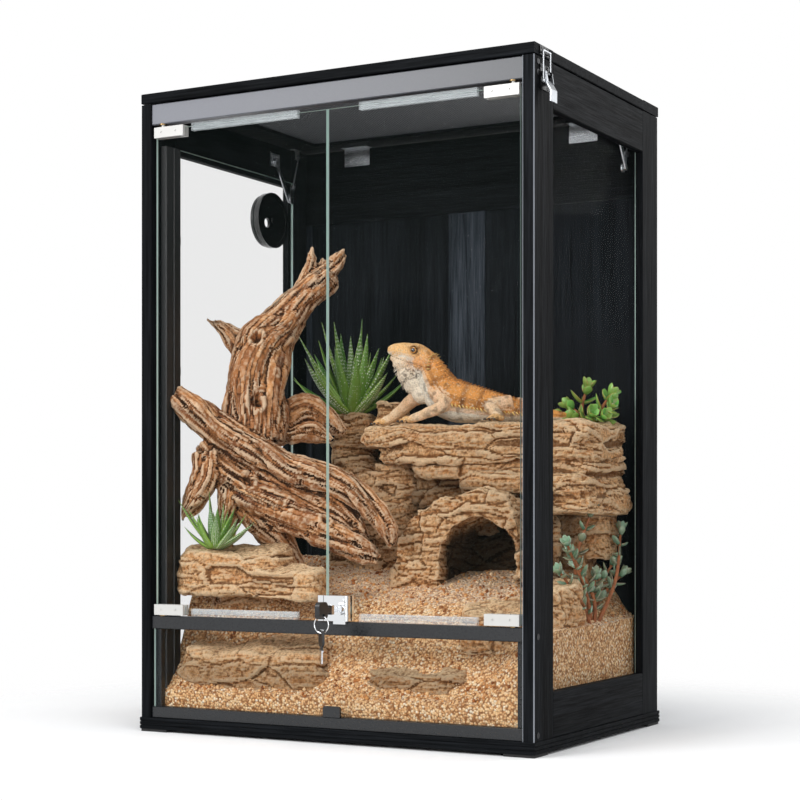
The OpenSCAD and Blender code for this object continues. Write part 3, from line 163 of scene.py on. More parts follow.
# ---- materials
def board(name, along, dark="#08090a", light="#1d1f22", gloss=0.5, edges=()):
    """Black-stained wood-print board with its grain along one axis; edges are (x, y) corners that get a painted
    highlight line.
    """
    g = Graph(name, Specular_IOR_Level=0.02)
    v = g.coords(stretched(along, 0.035))
    wide, fine = g.noise(v, 60, 3, 0.6, 0.6), g.noise(v, 420, 4, 0.65, 0.25)
    tone = g.mix(g.span(g.times(wide, fine), 0.14, 0.42), dark, light)
    # painted highlight: a pale grey line along each given corner, where the edge catches the light
    for corner in edges:
        near = [g.span(g.math("ABSOLUTE", g.math("SUBTRACT", g.part(k), at)), 0.0009, 0.0016, 1.0, 0.0)
                for k, at in enumerate(corner)]
        tone = g.mix(g.times(*near), tone, "#8e9299")
    pore = g.span(g.cells(v, 700), 0.05, 0.45)
    relief = g.plus(g.times(fine, 0.7), g.times(pore, 0.3))
    return g.made(tone, (fine, gloss + 0.1, gloss - 0.08), (relief, 0.0005, 0.75))


def satin(name, colour, rough, metal=0.0, scale=900, depth=0.00008, tone=0.12, coat=0.0):
    """A moulded, painted or polished finish: fine mottling in tone, sheen and surface."""
    g = Graph(name, Metallic=metal, Coat_Weight=coat, Coat_Roughness=0.1)
    v = g.coords()
    n = g.noise(v, scale, 3)
    return g.made(g.mix(g.noise(v, scale * 0.06, 2), linear(colour, 1 - tone), linear(colour, 1 + tone)),
                  (n, rough * 0.8, min(1, rough * 1.2)), (n, depth, 0.6))


def brushed(name, colour, rough, along):
    """Metal with drawn lines along one axis."""
    g = Graph(name, Metallic=1.0)
    lines = g.noise(g.coords(stretched(along, 0.04)), 2500, 3, 0.6)
    tone = g.mix(lines, linear(colour, 0.78), colour)
    return g.made(tone, (lines, rough * 0.7, rough * 1.4), (lines, 0.00005, 0.5))


def glass(name, thin):
    """Clear float glass: faint over its faces, pale green at its cut edges. thin is the axis across it."""
    g = Graph(name, IOR=1.5, Specular_IOR_Level=0.02)
    rim = g.span(g.math("ABSOLUTE", g.part("xyz".index(thin), "Normal")), 0.5, 0.9, 1.0, 0.0)
    return g.made(g.mix(rim, "#27302e", "#cfe8df"), (g.noise(g.coords(), 9, 3), 0.02, 0.05),
                  alpha=g.span(rim, 0, 1, 0.05, 0.85))


def clear_plastic(name):
    """Milky extruded channel with lengthwise lines."""
    g = Graph(name, IOR=1.45, Specular_IOR_Level=0.3)
    lines = g.noise(g.coords((0.03, 1, 1)), 1200, 3)
    return g.made(g.mix(lines, "#b9c6ca", "#f4f8f9"), (lines, 0.12, 0.3), (lines, 0.0002, 0.5),
                  alpha=g.span(lines, *NOISE, 0.1, 0.34))


def two_part(name, axis, split, below, above, soft=0.0004):
    """One material up to a plane across an axis and another past it: a key's metal blade and its plastic head.
    below and above are (colour, metal, roughness)."""
    g = Graph(name)
    share = g.span(g.part("xyz".index(axis)), split - soft, split + soft)
    n = g.noise(g.coords(), 1500, 3)
    for k, socket in ((1, "Metallic"), (2, "Roughness")):
        g.put(g.bsdf.inputs[socket], g.span(share, 0, 1, below[k], above[k]))
    mottled = g.mix(n, (0, 0, 0), (1, 1, 1))
    return g.made(g.mix(0.25, g.mix(share, below[0], above[0]), mottled, "SOFT_LIGHT"), relief=(n, 0.00006, 0.6))


def sand_material(name):
    """Grains of many tones, with painted shade between them and a painted highlight where the ground faces up."""
    g = Graph(name, Specular_IOR_Level=0.2)
    v = g.coords()
    pick, depth = g.pick(v, GRAINS), g.cells(v, GRAINS)
    tone = g.ramp(pick, (0.0, "#7c431b"), (0.2, "#d2935a"), (0.5, "#f8c890"), (0.8, "#ffdfb0"), (1.0, "#fff6e0"))
    tone = g.mix(g.span(g.noise(v, 14, 4), 0.35, 0.7, 0.1, 0.5), tone, "#eec392")
    # painted shade between the grains
    tone = g.mix(g.span(depth, 0.42, 0.8, 0.0, 0.9), tone, "#87542c")
    # painted highlight where the ground faces up
    tone = g.mix(g.span(g.part(2, "Normal"), 0.8, 0.99, 0.0, 0.35), tone, "#fff0dc")
    g.put(g.bsdf.inputs["Roughness"], g.span(pick, 0, 1, 0.75, 0.95))
    return g.made(tone, relief=(g.plus(g.span(depth, 0, 0.8, 1, 0), g.times(g.noise(v, 160, 3), 1.6)), 0.0022, 0.85))


def rock_material(name, top="#ffe4b8", side="#f2b274", deep="#5e3214", grey="#c4925f", greyness=0.35):
    """Layered sandstone: warm bands on the sides, with a painted highlight on top and on ridges, and painted shade in
    the cracks, in the hollows and where the shade attribute is set.
    """
    g = Graph(name, Specular_IOR_Level=0.15)
    v = g.coords()
    layer = g.noise(g.coords((0.12, 0.12, 1)), 130, 5, 0.65, 0.3)
    fine = g.noise(v, 260, 6, 0.7)
    bands = g.ramp(layer, (0.28, "#a2602f"), (0.42, side), (0.52, "#ffd09a"), (0.62, "#e59c5c"), (0.75, "#ffe0b6"))
    # painted highlight: the top colour where the stone faces up
    tone = g.mix(g.times(g.span(g.part(2, "Normal"), 0.35, 0.9), 0.72), bands, top)
    tone = g.mix(g.span(g.noise(v, 22, 4, 0.6), 0.5, 0.75, 0.0, greyness), tone, grey)
    # painted shade in the low spots of the fine relief
    tone = g.mix(g.span(fine, 0.38, 0.56, 0.75, 0.0), tone, "#8a5228")
    hollow = g.attribute("cavity")
    # painted highlight on ridges
    tone = g.mix(g.times(g.span(hollow, 0.0, -0.7), 0.6), tone, "#ffe2ba")
    # painted shade in hollows and cracks
    tone = g.mix(g.times(g.span(hollow, 0.0, 0.8), 0.7), tone, deep)
    # painted shade where the shade attribute is set
    tone = g.mix(g.times(g.attribute("shade"), 0.93), tone, "#140c07")
    pits = g.span(g.cells(v, 190), 0.0, 0.35, -0.5, 0.0)
    height = g.plus(g.times(layer, 1.2), g.plus(g.times(fine, 1.4), pits))
    return g.made(tone, (fine, 0.82, 0.97), (height, 0.0036, 0.95))


def wood_material(name):
    """Weathered root wood: its grain follows the local straightened place of each strand. Ridges get a painted
    highlight and hollows painted shade.
    """
    g = Graph(name, Specular_IOR_Level=0.18)
    v = g.node("Mapping", {"Vector": g.attribute("grain", "Vector"), "Scale": (1, 1, 0.07)})
    fibre, strand = g.noise(v, 330, 5, 0.7, 0.25), g.noise(v, 85, 4, 0.6, 0.5)
    patch = g.noise(g.coords(), 18, 4, 0.6)
    tone = g.ramp(g.plus(g.times(strand, 0.55), g.times(fibre, 0.45)), (0.30, "#331a0c"), (0.40, "#774425"),
                  (0.50, "#b17344"), (0.60, "#db9d66"), (0.70, "#fbd9ae"))
    tone = g.mix(g.span(patch, 0.45, 0.7, 0.0, 0.45), tone, "#8f6244")
    tone = g.mix(g.span(patch, 0.42, 0.25, 0.0, 0.35), tone, "#e3c29c")
    hollow = g.attribute("cavity")
    # painted highlight on ridges
    tone = g.mix(g.times(g.span(hollow, -0.05, -0.6), 0.6), tone, "#f6dcba")
    # painted shade in hollows and cracks
    tone = g.mix(g.times(g.span(hollow, 0.0, 0.6), 0.9), tone, "#2a1910")
    return g.made(tone, (fibre, 0.7, 0.92), (g.plus(g.times(strand, 1.5), fibre), 0.003, 0.9))


def leaf_material(name, base, tip, edge, spots=None, rough=0.38):
    """Fleshy leaf: leafuv is (across, along, leaf number); spots is how many white ones lie along it."""
    g = Graph(name, Specular_IOR_Level=0.45, Subsurface_Weight=0.08, Subsurface_Radius=(0.004, 0.008, 0.002),
              Coat_Weight=0.12, Coat_Roughness=0.25)
    uv = g.attribute("leafuv", "Vector")
    across, along, which = (g.node("SeparateXYZ", {0: uv}, out=k) for k in range(3))
    mottle = g.noise(g.coords(), 160, 4)
    tone = g.mix(g.span(along, 0.0, 0.9), base, tip)
    tone = g.mix(g.span(which, 0, 1, 0.0, 0.35), tone, edge)
    tone = g.mix(g.span(mottle, 0.4, 0.7, 0.0, 0.3), tone, linear(base, 0.55))
    tone = g.mix(g.times(g.span(g.math("ABSOLUTE", across), 0.8, 1.0), 0.5), tone, edge)
    relief = (mottle, 0.0006, 0.4)
    if spots:
        cell = g.node("Mapping", {"Vector": uv, "Scale": (2.6, spots, 9)})
        white = g.span(g.cells(cell, 1.0, random=0.3), 0.25, 0.34, 1.0, 0.0)
        tone = g.mix(white, tone, "#eaf2dc")
        relief = (g.plus(white, g.times(mottle, 0.2)), 0.0009, 0.9)
    return g.made(tone, (mottle, rough * 0.8, rough * 1.2), relief)


def stem_material(name, colour):
    """Woody stem with lengthwise fibres."""
    g = Graph(name, Specular_IOR_Level=0.25)
    n = g.noise(g.coords((1, 1, 0.2)), 300, 4)
    return g.made(g.mix(g.span(n, *NOISE), linear(colour, 0.45), colour), (n, 0.6, 0.85), (n, 0.0012, 0.8))


def skin_material(name):
    """Scaly lizard skin over the colours that the mesh carries, with painted shade in its hollows."""
    g = Graph(name, Specular_IOR_Level=0.3)
    v = g.coords()
    scale, pick = g.cells(v, SCALES), g.pick(v, SCALES)
    tone = g.mix(g.span(pick, 0, 1, 0.0, 0.18), g.attribute("tint", "Color"), "#8a4f24")
    tone = g.mix(g.span(pick, 0.8, 1.0, 0.0, 0.4), tone, "#fff0cf")
    tone = g.mix(g.span(scale, 0.45, 0.85, 0.0, 0.28), tone, "#5a3318")
    # painted shade in hollows and creases
    tone = g.mix(g.times(g.span(g.attribute("cavity"), 0.1, 0.9), 0.6), tone, "#3a2110")
    g.put(g.bsdf.inputs["Roughness"], g.span(scale, 0.0, 0.7, 0.5, 0.8))
    return g.made(tone, relief=(g.span(scale, 0.0, 0.75, 1.0, 0.0), 0.0011, 0.85))


def eye_material(name):
    """A dark pupil in an orange iris, by the distance that the mesh carries."""
    g = Graph(name, Roughness=0.08, Coat_Weight=1.0, Coat_Roughness=0.02)
    flecks = g.span(g.noise(g.coords(), 2600, 3), *NOISE, 0, 0.3)
    iris = g.ramp(g.attribute("ring"), (0.0, "#050404"), (0.46, "#080605"), (0.52, "#d98a34"), (0.7, "#f0b052"),
                  (0.82, "#7c3f18"), (1.0, "#2a150a"))
    return g.made(g.mix(flecks, iris, "#3d1c0a"))


# ---- mesh tools
def hashed(i, seed):
    """31 random bits for each cell of whole numbers."""
    h = (i[:, 0] * 73856093) ^ (i[:, 1] * 19349663) ^ (i[:, 2] * 83492791) ^ (seed * 2654435)
    h = (h ^ (h >> 13)) * 1274126177 & 0x7FFFFFFF
    return (h ^ (h >> 15)) * 668265263 & 0x7FFFFFFF


def lattice(p, seed):
    """Smooth random values at points, from a lattice of hashed ones, between -1 and 1."""
    cell = np.floor(p).astype(np.int64)
    f = p - cell
    f = f * f * (3 - 2 * f)
    total = np.zeros(len(p))
    for k in range(8):
        d = np.array([k & 1, k >> 1 & 1, k >> 2 & 1])
        value = (hashed(cell + d, seed) >> 8 & 0xFFFF) / 32767.5 - 1
        total += value * np.prod(np.where(d, f, 1 - f), axis=1)
    return total


def chunks(p, seed):
    """Broken cells: a value between -1 and 1 for the cell a point lies in, and how far its edge is."""
    cell = np.floor(p).astype(np.int64)
    first, second, value = np.full(len(p), 9.0), np.full(len(p), 9.0), np.zeros(len(p))
    for k in range(27):
        i = cell + np.array([k % 3 - 1, k // 3 % 3 - 1, k // 9 - 1])
        h = hashed(i, seed)
        d = np.linalg.norm(p - i - np.stack([(h >> b & 0xFF) / 255.0 for b in (2, 10, 18)], 1), axis=1)
        value = np.where(d < first, (h >> 6 & 0xFFF) / 2047.5 - 1, value)
        second = np.where(d < first, first, np.minimum(second, d))
        first = np.minimum(first, d)
    return value, second - first


def fractal(p, seed, octaves=4):
    """Lattice noise at doubling scales and halving strength, between -1 and 1."""
    total, amount, size = np.zeros(len(p)), 1.0, 0.0
    for i in range(octaves):
        total += amount * lattice(p * 2 ** i + 17.3 * i, seed + i)
        size += amount
        amount *= 0.5
    return total / size


def bell(x, power=2):
    """1 at 0, falling away to both sides."""
    return np.exp(-x ** power)


def unit(v):
    return v / np.maximum(np.linalg.norm(v, axis=-1, keepdims=True), 1e-12)


LAYERS = {1: ("FLOAT", "value"), 3: ("FLOAT_VECTOR", "vector"), 4: ("FLOAT_COLOR", "color")}


def dress(name, mesh, material, layers):
    """An object on a mesh, with point values kept as named attributes."""
    for key, value in layers.items():
        value = np.asarray(value, np.float32)
        kind, field = LAYERS[1 if value.ndim == 1 else value.shape[1]]
        mesh.attributes.new(key, kind, "POINT").data.foreach_set(field, value.ravel())
    mesh.materials.clear()
    if material is not None:
        mesh.materials.append(material)
    obj = bpy.data.objects.new(name, mesh)
    bpy.context.scene.collection.objects.link(obj)
    return obj


def make(name, verts, faces, material, smooth=True, **layers):
    """An object from points in metres."""
    mesh = bpy.data.meshes.new(name)
    mesh.from_pydata([tuple(v) for v in np.asarray(verts, float)], [], [tuple(map(int, f)) for f in faces])
    mesh.update()
    if smooth:
        mesh.shade_smooth()
    return dress(name, mesh, material, layers)


def hoops(rows, seg, flip=False):
    """Faces over rows of seg points each, joined into a closed skin with two ends."""
    faces = [(i * seg + j, i * seg + (j + 1) % seg, (i + 1) * seg + (j + 1) % seg, (i + 1) * seg + j)
             for i in range(rows - 1) for j in range(seg)]
    faces += [tuple(range(seg - 1, -1, -1)), tuple((rows - 1) * seg + j for j in range(seg))]
    return [f[::-1] for f in faces] if flip else faces


class Soup:
    """Gathers pieces of mesh, with their point values, into one."""

    def __init__(self):
        self.verts, self.faces, self.count, self.values = [], [], 0, []

    def add(self, verts, faces, values=None):
        self.verts.append(verts)
        self.faces += [tuple(i + self.count for i in f) for f in faces]
        self.count += len(verts)
        self.values.append(np.zeros((len(verts), 3)) if values is None else values)

    def points(self):
        return np.vstack(self.verts)

    def layer(self):
        return np.vstack(self.values)

    def make(self, name, material, **layers):
        """An object from points in mm."""
        return make(name, self.points() * MM, self.faces, material, **layers)


def spline(points, radii, step):
    """Points and radii every step or so along a smooth curve through the given ones."""
    p, r = np.array(points, float), np.array(radii, float)
    p = np.vstack([2 * p[0] - p[1], p, 2 * p[-1] - p[-2]])
    r = np.r_[r[0], r, r[-1]]
    at, out = [], []
    for i in range(1, len(p) - 2):
        m = max(2, int(np.ceil(np.linalg.norm(p[i + 1] - p[i]) / step)))
        t = (np.arange(m) / m)[:, None]
        for q, store in ((p, at), (r[:, None], out)):
            a, b, c, d = q[i - 1:i + 3]
            store.append(0.5 * (2 * b + (c - a) * t + (2 * a - 5 * b + 4 * c - d) * t ** 2
                                + (3 * b - a - 3 * c + d) * t ** 3))
    return np.vstack(at + [p[-2][None]]), np.vstack(out + [[[r[-2]]]])[:, 0]


def run(c):
    """How far along a curve each of its points lies."""
    return np.r_[0, np.cumsum(np.linalg.norm(np.diff(c, axis=0), axis=1))]


def frames(c):
    """Directions along a curve and across it, without twist."""
    t = unit(np.gradient(c, axis=0))
    start = np.array([0, 1.0, 0.1]) if abs(t[0][1]) < 0.9 else np.array([1.0, 0, 0])
    u = [unit(np.cross(t[0], start))]
    for i in range(1, len(c)):
        v = u[-1] - t[i] * np.dot(u[-1], t[i])
        u.append(unit(v))
    u = np.array(u)
    return t, u, np.cross(t, u)


def tube(c, r, seg=14, shape=None):
    """A closed tube on curve points c with radii r; shape(angle, row) scales each hoop. Its values are
    the place in the straightened tube."""
    _, u, v = frames(c)
    a = np.arange(seg) * 2 * np.pi / seg
    k = np.ones((len(c), seg)) if shape is None else shape(a[None], np.arange(len(c))[:, None])
    x, y = k * r[:, None] * np.cos(a), k * r[:, None] * np.sin(a)
    verts = (c[:, None] + x[..., None] * u[:, None] + y[..., None] * v[:, None]).reshape(-1, 3)
    s = run(c)
    local = np.stack([x, y, np.repeat(s[:, None], seg, 1)], -1).reshape(-1, 3)
    return verts, hoops(len(c), seg), local


def ball(centre, radii, rings=9, seg=14):
    """An ellipsoid."""
    a = np.linspace(0, np.pi, rings)[1:-1]
    b = np.arange(seg) * 2 * np.pi / seg
    grid = np.stack([np.outer(np.sin(a), np.cos(b)), np.outer(np.sin(a), np.sin(b)),
                     np.outer(np.cos(a), np.ones(seg))], -1).reshape(-1, 3)
    p = np.vstack([grid, [[0, 0, 1], [0, 0, -1]]]) * np.array(radii)
    m = rings - 2
    faces = [(i * seg + j, (i + 1) * seg + j, (i + 1) * seg + (j + 1) % seg, i * seg + (j + 1) % seg)
             for i in range(m - 1) for j in range(seg)]
    faces += [(m * seg, j, (j + 1) % seg) for j in range(seg)]
    faces += [(m * seg + 1, (m - 1) * seg + (j + 1) % seg, (m - 1) * seg + j) for j in range(seg)]
    return p + np.array(centre), faces, None


def read(mesh):
    """Places, normals and edges of a mesh's points."""
    found = []
    for items, key, width, kind in ((mesh.vertices, "co", 3, float), (mesh.vertices, "normal", 3, float),
                                    (mesh.edges, "vertices", 2, np.int64)):
        values = np.empty(len(items) * width, kind)
        items.foreach_get(key, values)
        found.append(values.reshape(-1, width))
    return found


def put_back(mesh, co):
    mesh.vertices.foreach_set("co", co.ravel())
    mesh.update()
    return read(mesh)


def around(co, edges, times):
    """co, or any point values, averaged over neighbours some times."""
    co = co.copy()
    count = np.bincount(edges.ravel(), minlength=len(co))[:, None]
    for _ in range(times):
        total = np.stack([np.bincount(edges[:, 0], co[edges[:, 1], k], len(co))
                          + np.bincount(edges[:, 1], co[edges[:, 0], k], len(co)) for k in range(co.shape[1])], 1)
        co = 0.5 * co + 0.5 * total / np.maximum(count, 1)
    return co


def fuse(soup, voxel):
    """One skin over everything in the soup."""
    raw = soup.make("raw", None)
    m = raw.modifiers.new("skin", "REMESH")
    m.mode, m.voxel_size = "VOXEL", voxel * MM
    mesh = bpy.data.meshes.new_from_object(raw.evaluated_get(bpy.context.evaluated_depsgraph_get()))
    bpy.data.objects.remove(raw)
    return mesh


def sculpt(name, mesh, move, material, smoothing=2, cavity=(3, 10), limits=None, **more):
    """Smooths a fused mesh, moves its points along their normals by move(points, normals) in mm, and keeps how deep
    each point lies in a hollow, and whatever more(points, normals) gives."""
    co, normal, edges = read(mesh)
    co, normal, edges = put_back(mesh, around(co, edges, smoothing))
    co = co + normal * move(co / MM, normal)[:, None] * MM
    if limits is not None:
        co = np.clip(co, *(np.array(limit) * MM for limit in limits))
    co, normal, edges = put_back(mesh, co)
    depth = sum(np.einsum("ij,ij->i", around(co, edges, k) - co, normal) / MM / (0.35 * k ** 0.5) for k in cavity)
    layers = {"cavity": depth / (len(cavity) * 1.1)}
    layers.update({key: value(co / MM, normal) for key, value in more.items()})
    mesh.shade_smooth()
    return dress(name, mesh, material, layers)


def settle(obj, slot, *replaced, body="cabinet"):
    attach(obj, body)
    if replaced:
        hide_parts(*replaced)
    return obj


# ---- finishes of the CAD nodes
# painted highlight lines along the two front corners of the front right stile, carried by the upright boards'
# material
stile_lo, stile_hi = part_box("front_right_stile")
upright = board("board_upright", "z", edges=((stile_lo[0], stile_lo[1]), (stile_hi[0], stile_lo[1])))
level_x = board("board_level_x", "x")
level_y = board("board_level_y", "y")
back_wood = board("board_back", "z", "#0b0c0e", "#202327", 0.5)
# painted light: a lighter copy of the black board, so the back uprights read as lit
back_stile = board("board_back_stile", "z", "#101318", "#454b53", 0.45)
# painted sheen: the front top rail is pale grey at the left and dark at the right
rail_sheen = two_part("rail_sheen", "x", 0.02, ("#74767e", 0.0, 0.42), ("#26282c", 0.0, 0.42), 0.42)
gloss_black = satin("port_gloss", "#0a0b0c", 0.16, 0.0, 700, 0.00005, 0.2, 0.8)
trim_x = satin("trim_rail", "#16181b", 0.3, scale=500, depth=0.0001)
chrome = satin("chrome", "#e6e8ea", 0.12, 1.0, 300, 0.00003, 0.05)
steel_x = brushed("steel_x", "#c9ccd0", 0.28, "x")
steel_z = brushed("steel_z", "#c4c7cb", 0.28, "z")
dark_steel = brushed("dark_steel", "#8f9296", 0.34, "z")
white_fitting = satin("white_fitting", "#c6c5c1", 0.35, 0.0, 900, 0.00006, 0.05, 0.3)
bronze = satin("bush_bronze", "#8a7350", 0.35, 1.0)
black_plastic = satin("black_plastic", "#101113", 0.32, 0.0, 1400, 0.0001, 0.25, 0.2)
black_screw = satin("screw_black", "#1a1b1d", 0.4, 0.8)
rubber = satin("foot_rubber", "#0f0f10", 0.75, 0.0, 700, 0.0003, 0.3)
key_metal, key_black = ("#c4c6c9", 1.0, 0.22), ("#121315", 0.0, 0.34)
finish = {
    upright: ["front_left_stile", "front_right_stile", "rear_left_stile", "rear_right_stile"],
    back_stile: ["back_uprights"],
    rail_sheen: ["front_top_rail"],
    level_x: ["base_board", "back_rails", "lid_frame"],
    level_y: ["left_side_rails", "right_side_rails"],
    back_wood: ["back_panels"],
    trim_x: ["front_mid_rail", "front_bottom_rail", "lower_glass_holders"],
    glass("glass_side", "x"): ["left_glass", "right_glass"],
    glass("glass_front", "y"): ["lower_glass", "left_door_glass", "right_door_glass"],
    clear_plastic("seal_clear"): ["left_door_seals", "right_door_seals"],
    white_fitting: ["left_door_hinges", "right_door_hinges"],
    bronze: ["door_bushes"],
    black_plastic: ["side_glass_clips", "port_nut"],
    gloss_black: ["port_body", "port_shutter"],
    black_screw: ["rail_screws", "latch_base", "latch_keeper"],
    chrome: ["lock_body", "lock_strike", "lock_cylinder", "key_ring"],
    dark_steel: ["lock_bolt", "latch_lever", "left_stay_upper_arm", "right_stay_upper_arm"],
    steel_x: ["lid_hinge_back_leaves", "lid_hinge_lid_leaves", "lid_hinge_pins", "lid_hinge_screws",
              "stay_lid_brackets", "latch_bail"],
    steel_z: ["stay_side_brackets", "left_stay_lower_arm", "right_stay_lower_arm"],
    rubber: ["feet"],
    two_part("key_finish", "y", -0.2478, key_black, key_metal): ["key"],
    two_part("spare_key_finish", "z", 0.1307, key_metal, key_black): ["spare_key"],
}
for material, names in finish.items():
    for name in names:
        slots = nodes[name].data.materials
        slots.clear()
        slots.append(material)

# ---- where things stand, in mm
INNER = 293          # from the middle to a side wall's inner face
BASE = 20            # top of the base board
LEDGE = BASE + 424   # top of the ledge


def wall_left(p):
    return [-INNER + p[0], p[1], BASE + p[2]]


def wall_right(p):
    return [INNER + p[0], p[1], BASE + p[2]]


# ---- lid mesh
def lid_screen():
    """Woven wire, one hoop of four points at each crossing."""
    low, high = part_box("lid_mesh")
    pitch, wire = 2.9 * MM, 0.33 * MM
    z = (low.z + high.z) / 2
    soup = Soup()
    ex, ey = (high.x - low.x) / 2, (high.y - low.y) / 2
    nx, ny = int(2 * ex / pitch), int(2 * ey / pitch)
    xs, ys = (np.arange(nx) - (nx - 1) / 2) * pitch, (np.arange(ny) - (ny - 1) / 2) * pitch
    corner = np.array([[1, 0], [0, 1], [-1, 0], [0, -1]]) * wire

    def wire_along(at, other, parity, axis):
        n = len(other)
        lift = wire * 0.95 * np.where((np.arange(n) + parity) % 2 == 0, 1, -1)
        verts = np.zeros((n, 4, 3))
        verts[:, :, axis] = other[:, None]
        verts[:, :, 1 - axis] = at + corner[:, 0]
        verts[:, :, 2] = z + lift[:, None] + corner[:, 1]
        soup.add(verts.reshape(-1, 3), hoops(n, 4, flip=axis))

    for k, x in enumerate(xs):
        wire_along(x, ys, k, 1)
    for k, y in enumerate(ys):
        wire_along(y, xs, k + 1, 0)
    screen = satin("screen_wire", "#3b3d40", 0.45, 0.7, 3000, 0.00003)
    settle(make("lid_screen", soup.points(), soup.faces, screen, smooth=False), "mesh", "lid_mesh", body="lid")


# ---- sand
SAND_X = 290.6       # half width of the sand
SAND_FRONT, SAND_BACK = -199.7, 202.7
# its height above the base board at places from front to back: in the middle, on the left and on the right
SAND_MIDDLE = [(-200, 36), (-190, 46), (-150, 86), (-125, 134), (-100, 164), (-45, 187), (0, 198), (100, 216),
               (203, 226)]
SAND_LEFT = [(-200, 36), (-192, 44), (-150, 96), (-134, 142), (-120, 180), (-100, 192), (0, 204), (203, 226)]
SAND_RIGHT = [(-200, 40), (-190, 96), (-165, 124), (-150, 130), (-122, 134), (203, 138)]
SAND_GRID = (240, 170)   # points of its top, across and to the back
SAND_LEVELS = 14         # hoops of points down its sides
PEBBLES = 6500


def ease(t):
    t = np.clip(t, 0, 1)
    return t * t * (3 - 2 * t)


def ground(x, y):
    """Height of the sand above the base board, as the source has it, and rounder."""
    mid, left, right = (sum(np.interp(y + d, *zip(*table)) for d in (-9, 0, 9)) / 3
                        for table in (SAND_MIDDLE, SAND_LEFT, SAND_RIGHT))
    z = mid + ease((-x - 100) / 60) * (left - mid)
    return z + ease((x - INNER + 90) / 85) * (right - z)


def sand():
    nx, ny = SAND_GRID
    x, y = np.meshgrid(np.linspace(-SAND_X, SAND_X, nx), np.linspace(SAND_FRONT, SAND_BACK, ny))
    x, y = x.ravel(), y.ravel()
    p = np.stack([x, y, np.zeros_like(x)], 1)
    z = BASE + ground(x, y) + 4.5 * fractal(p / 42, 3, 3) + 1.6 * fractal(p / 7, 9, 3) + 0.9 * lattice(p / 2.6, 12)
    z = np.maximum(z, BASE + 30)
    top = np.stack([x, y, z], 1)
    index = np.arange(nx * ny).reshape(ny, nx)
    faces = list(zip(*(index[rows, columns].ravel() for rows, columns in (
        (slice(-1), slice(-1)), (slice(-1), slice(1, None)), (slice(1, None), slice(1, None)),
        (slice(1, None), slice(-1))))))
    rim = np.r_[index[0], index[1:, -1], index[-1, -2::-1], index[-2:0:-1, 0]]
    verts, above = [top], rim
    for k in range(1, SAND_LEVELS + 1):
        ring = top[rim].copy()
        ring[:, 2] = BASE + (ring[:, 2] - BASE) * (1 - k / SAND_LEVELS)
        ring += 0.9 * lattice(ring / 3.0, 21)[:, None] * np.array([1, 1, 0]) * (k < SAND_LEVELS)
        ring[:, :2] = np.clip(ring[:, :2], (-SAND_X, SAND_FRONT), (SAND_X, SAND_BACK))
        now = nx * ny + (k - 1) * len(rim) + np.arange(len(rim))
        verts.append(ring)
        faces += zip(np.roll(above, -1), above, now, np.roll(now, -1))
        above = now
    faces.append(tuple(above))
    settle(make("sand_bed", np.vstack(verts) * MM, faces, sand_material("sand_grains")), "sand", "substrate")

    rng = np.random.default_rng(41)
    grain, quads, _ = ball([0, 0, 0], [1, 1, 1], rings=5, seg=6)
    soup, kinds = Soup(), []
    for i in range(PEBBLES):
        size = 0.9 + 2.0 * rng.random() ** 5 + (1.2 * rng.random() if i % 40 == 0 else 0)
        gx = rng.uniform(-SAND_X + 4, SAND_X - 4)
        gy = SAND_FRONT + 3 + (SAND_BACK - SAND_FRONT - 8) * rng.random() ** 1.35
        radii = size * rng.uniform(0.7, 1.25, 3)
        turn = rng.uniform(0, np.pi)
        c, s = np.cos(turn), np.sin(turn)
        q = grain * radii * (1 + 0.18 * rng.standard_normal((len(grain), 1)))
        q = q @ np.array([[c, s, 0], [-s, c, 0], [0, 0, 1]])
        k = min(ny - 1, int(round((gy - SAND_FRONT) / (SAND_BACK - SAND_FRONT) * (ny - 1)))) * nx
        k += int(round((gx + SAND_X) / (2 * SAND_X) * (nx - 1)))
        soup.add(q + np.array([gx, gy, z[k] + 0.35 * radii[2]]), quads)
        kinds += [rng.random()] * len(q)
    g = Graph("pebbles", Specular_IOR_Level=0.25)
    tone = g.ramp(g.attribute("kind"), (0.0, "#7a4522"), (0.2, "#b87440"), (0.45, "#e6a765"), (0.75, "#f8cd98"),
                  (1.0, "#ffeccb"))
    spot = g.noise(g.coords(), 900, 3)
    pebble = g.made(g.mix(g.span(spot, 0.4, 0.65, 0, 0.35), tone, "#7a4b2c"), (spot, 0.6, 0.85), (spot, 0.0004, 0.5))
    settle(soup.make("sand_pebbles", pebble, kind=np.array(kinds)), "sand")


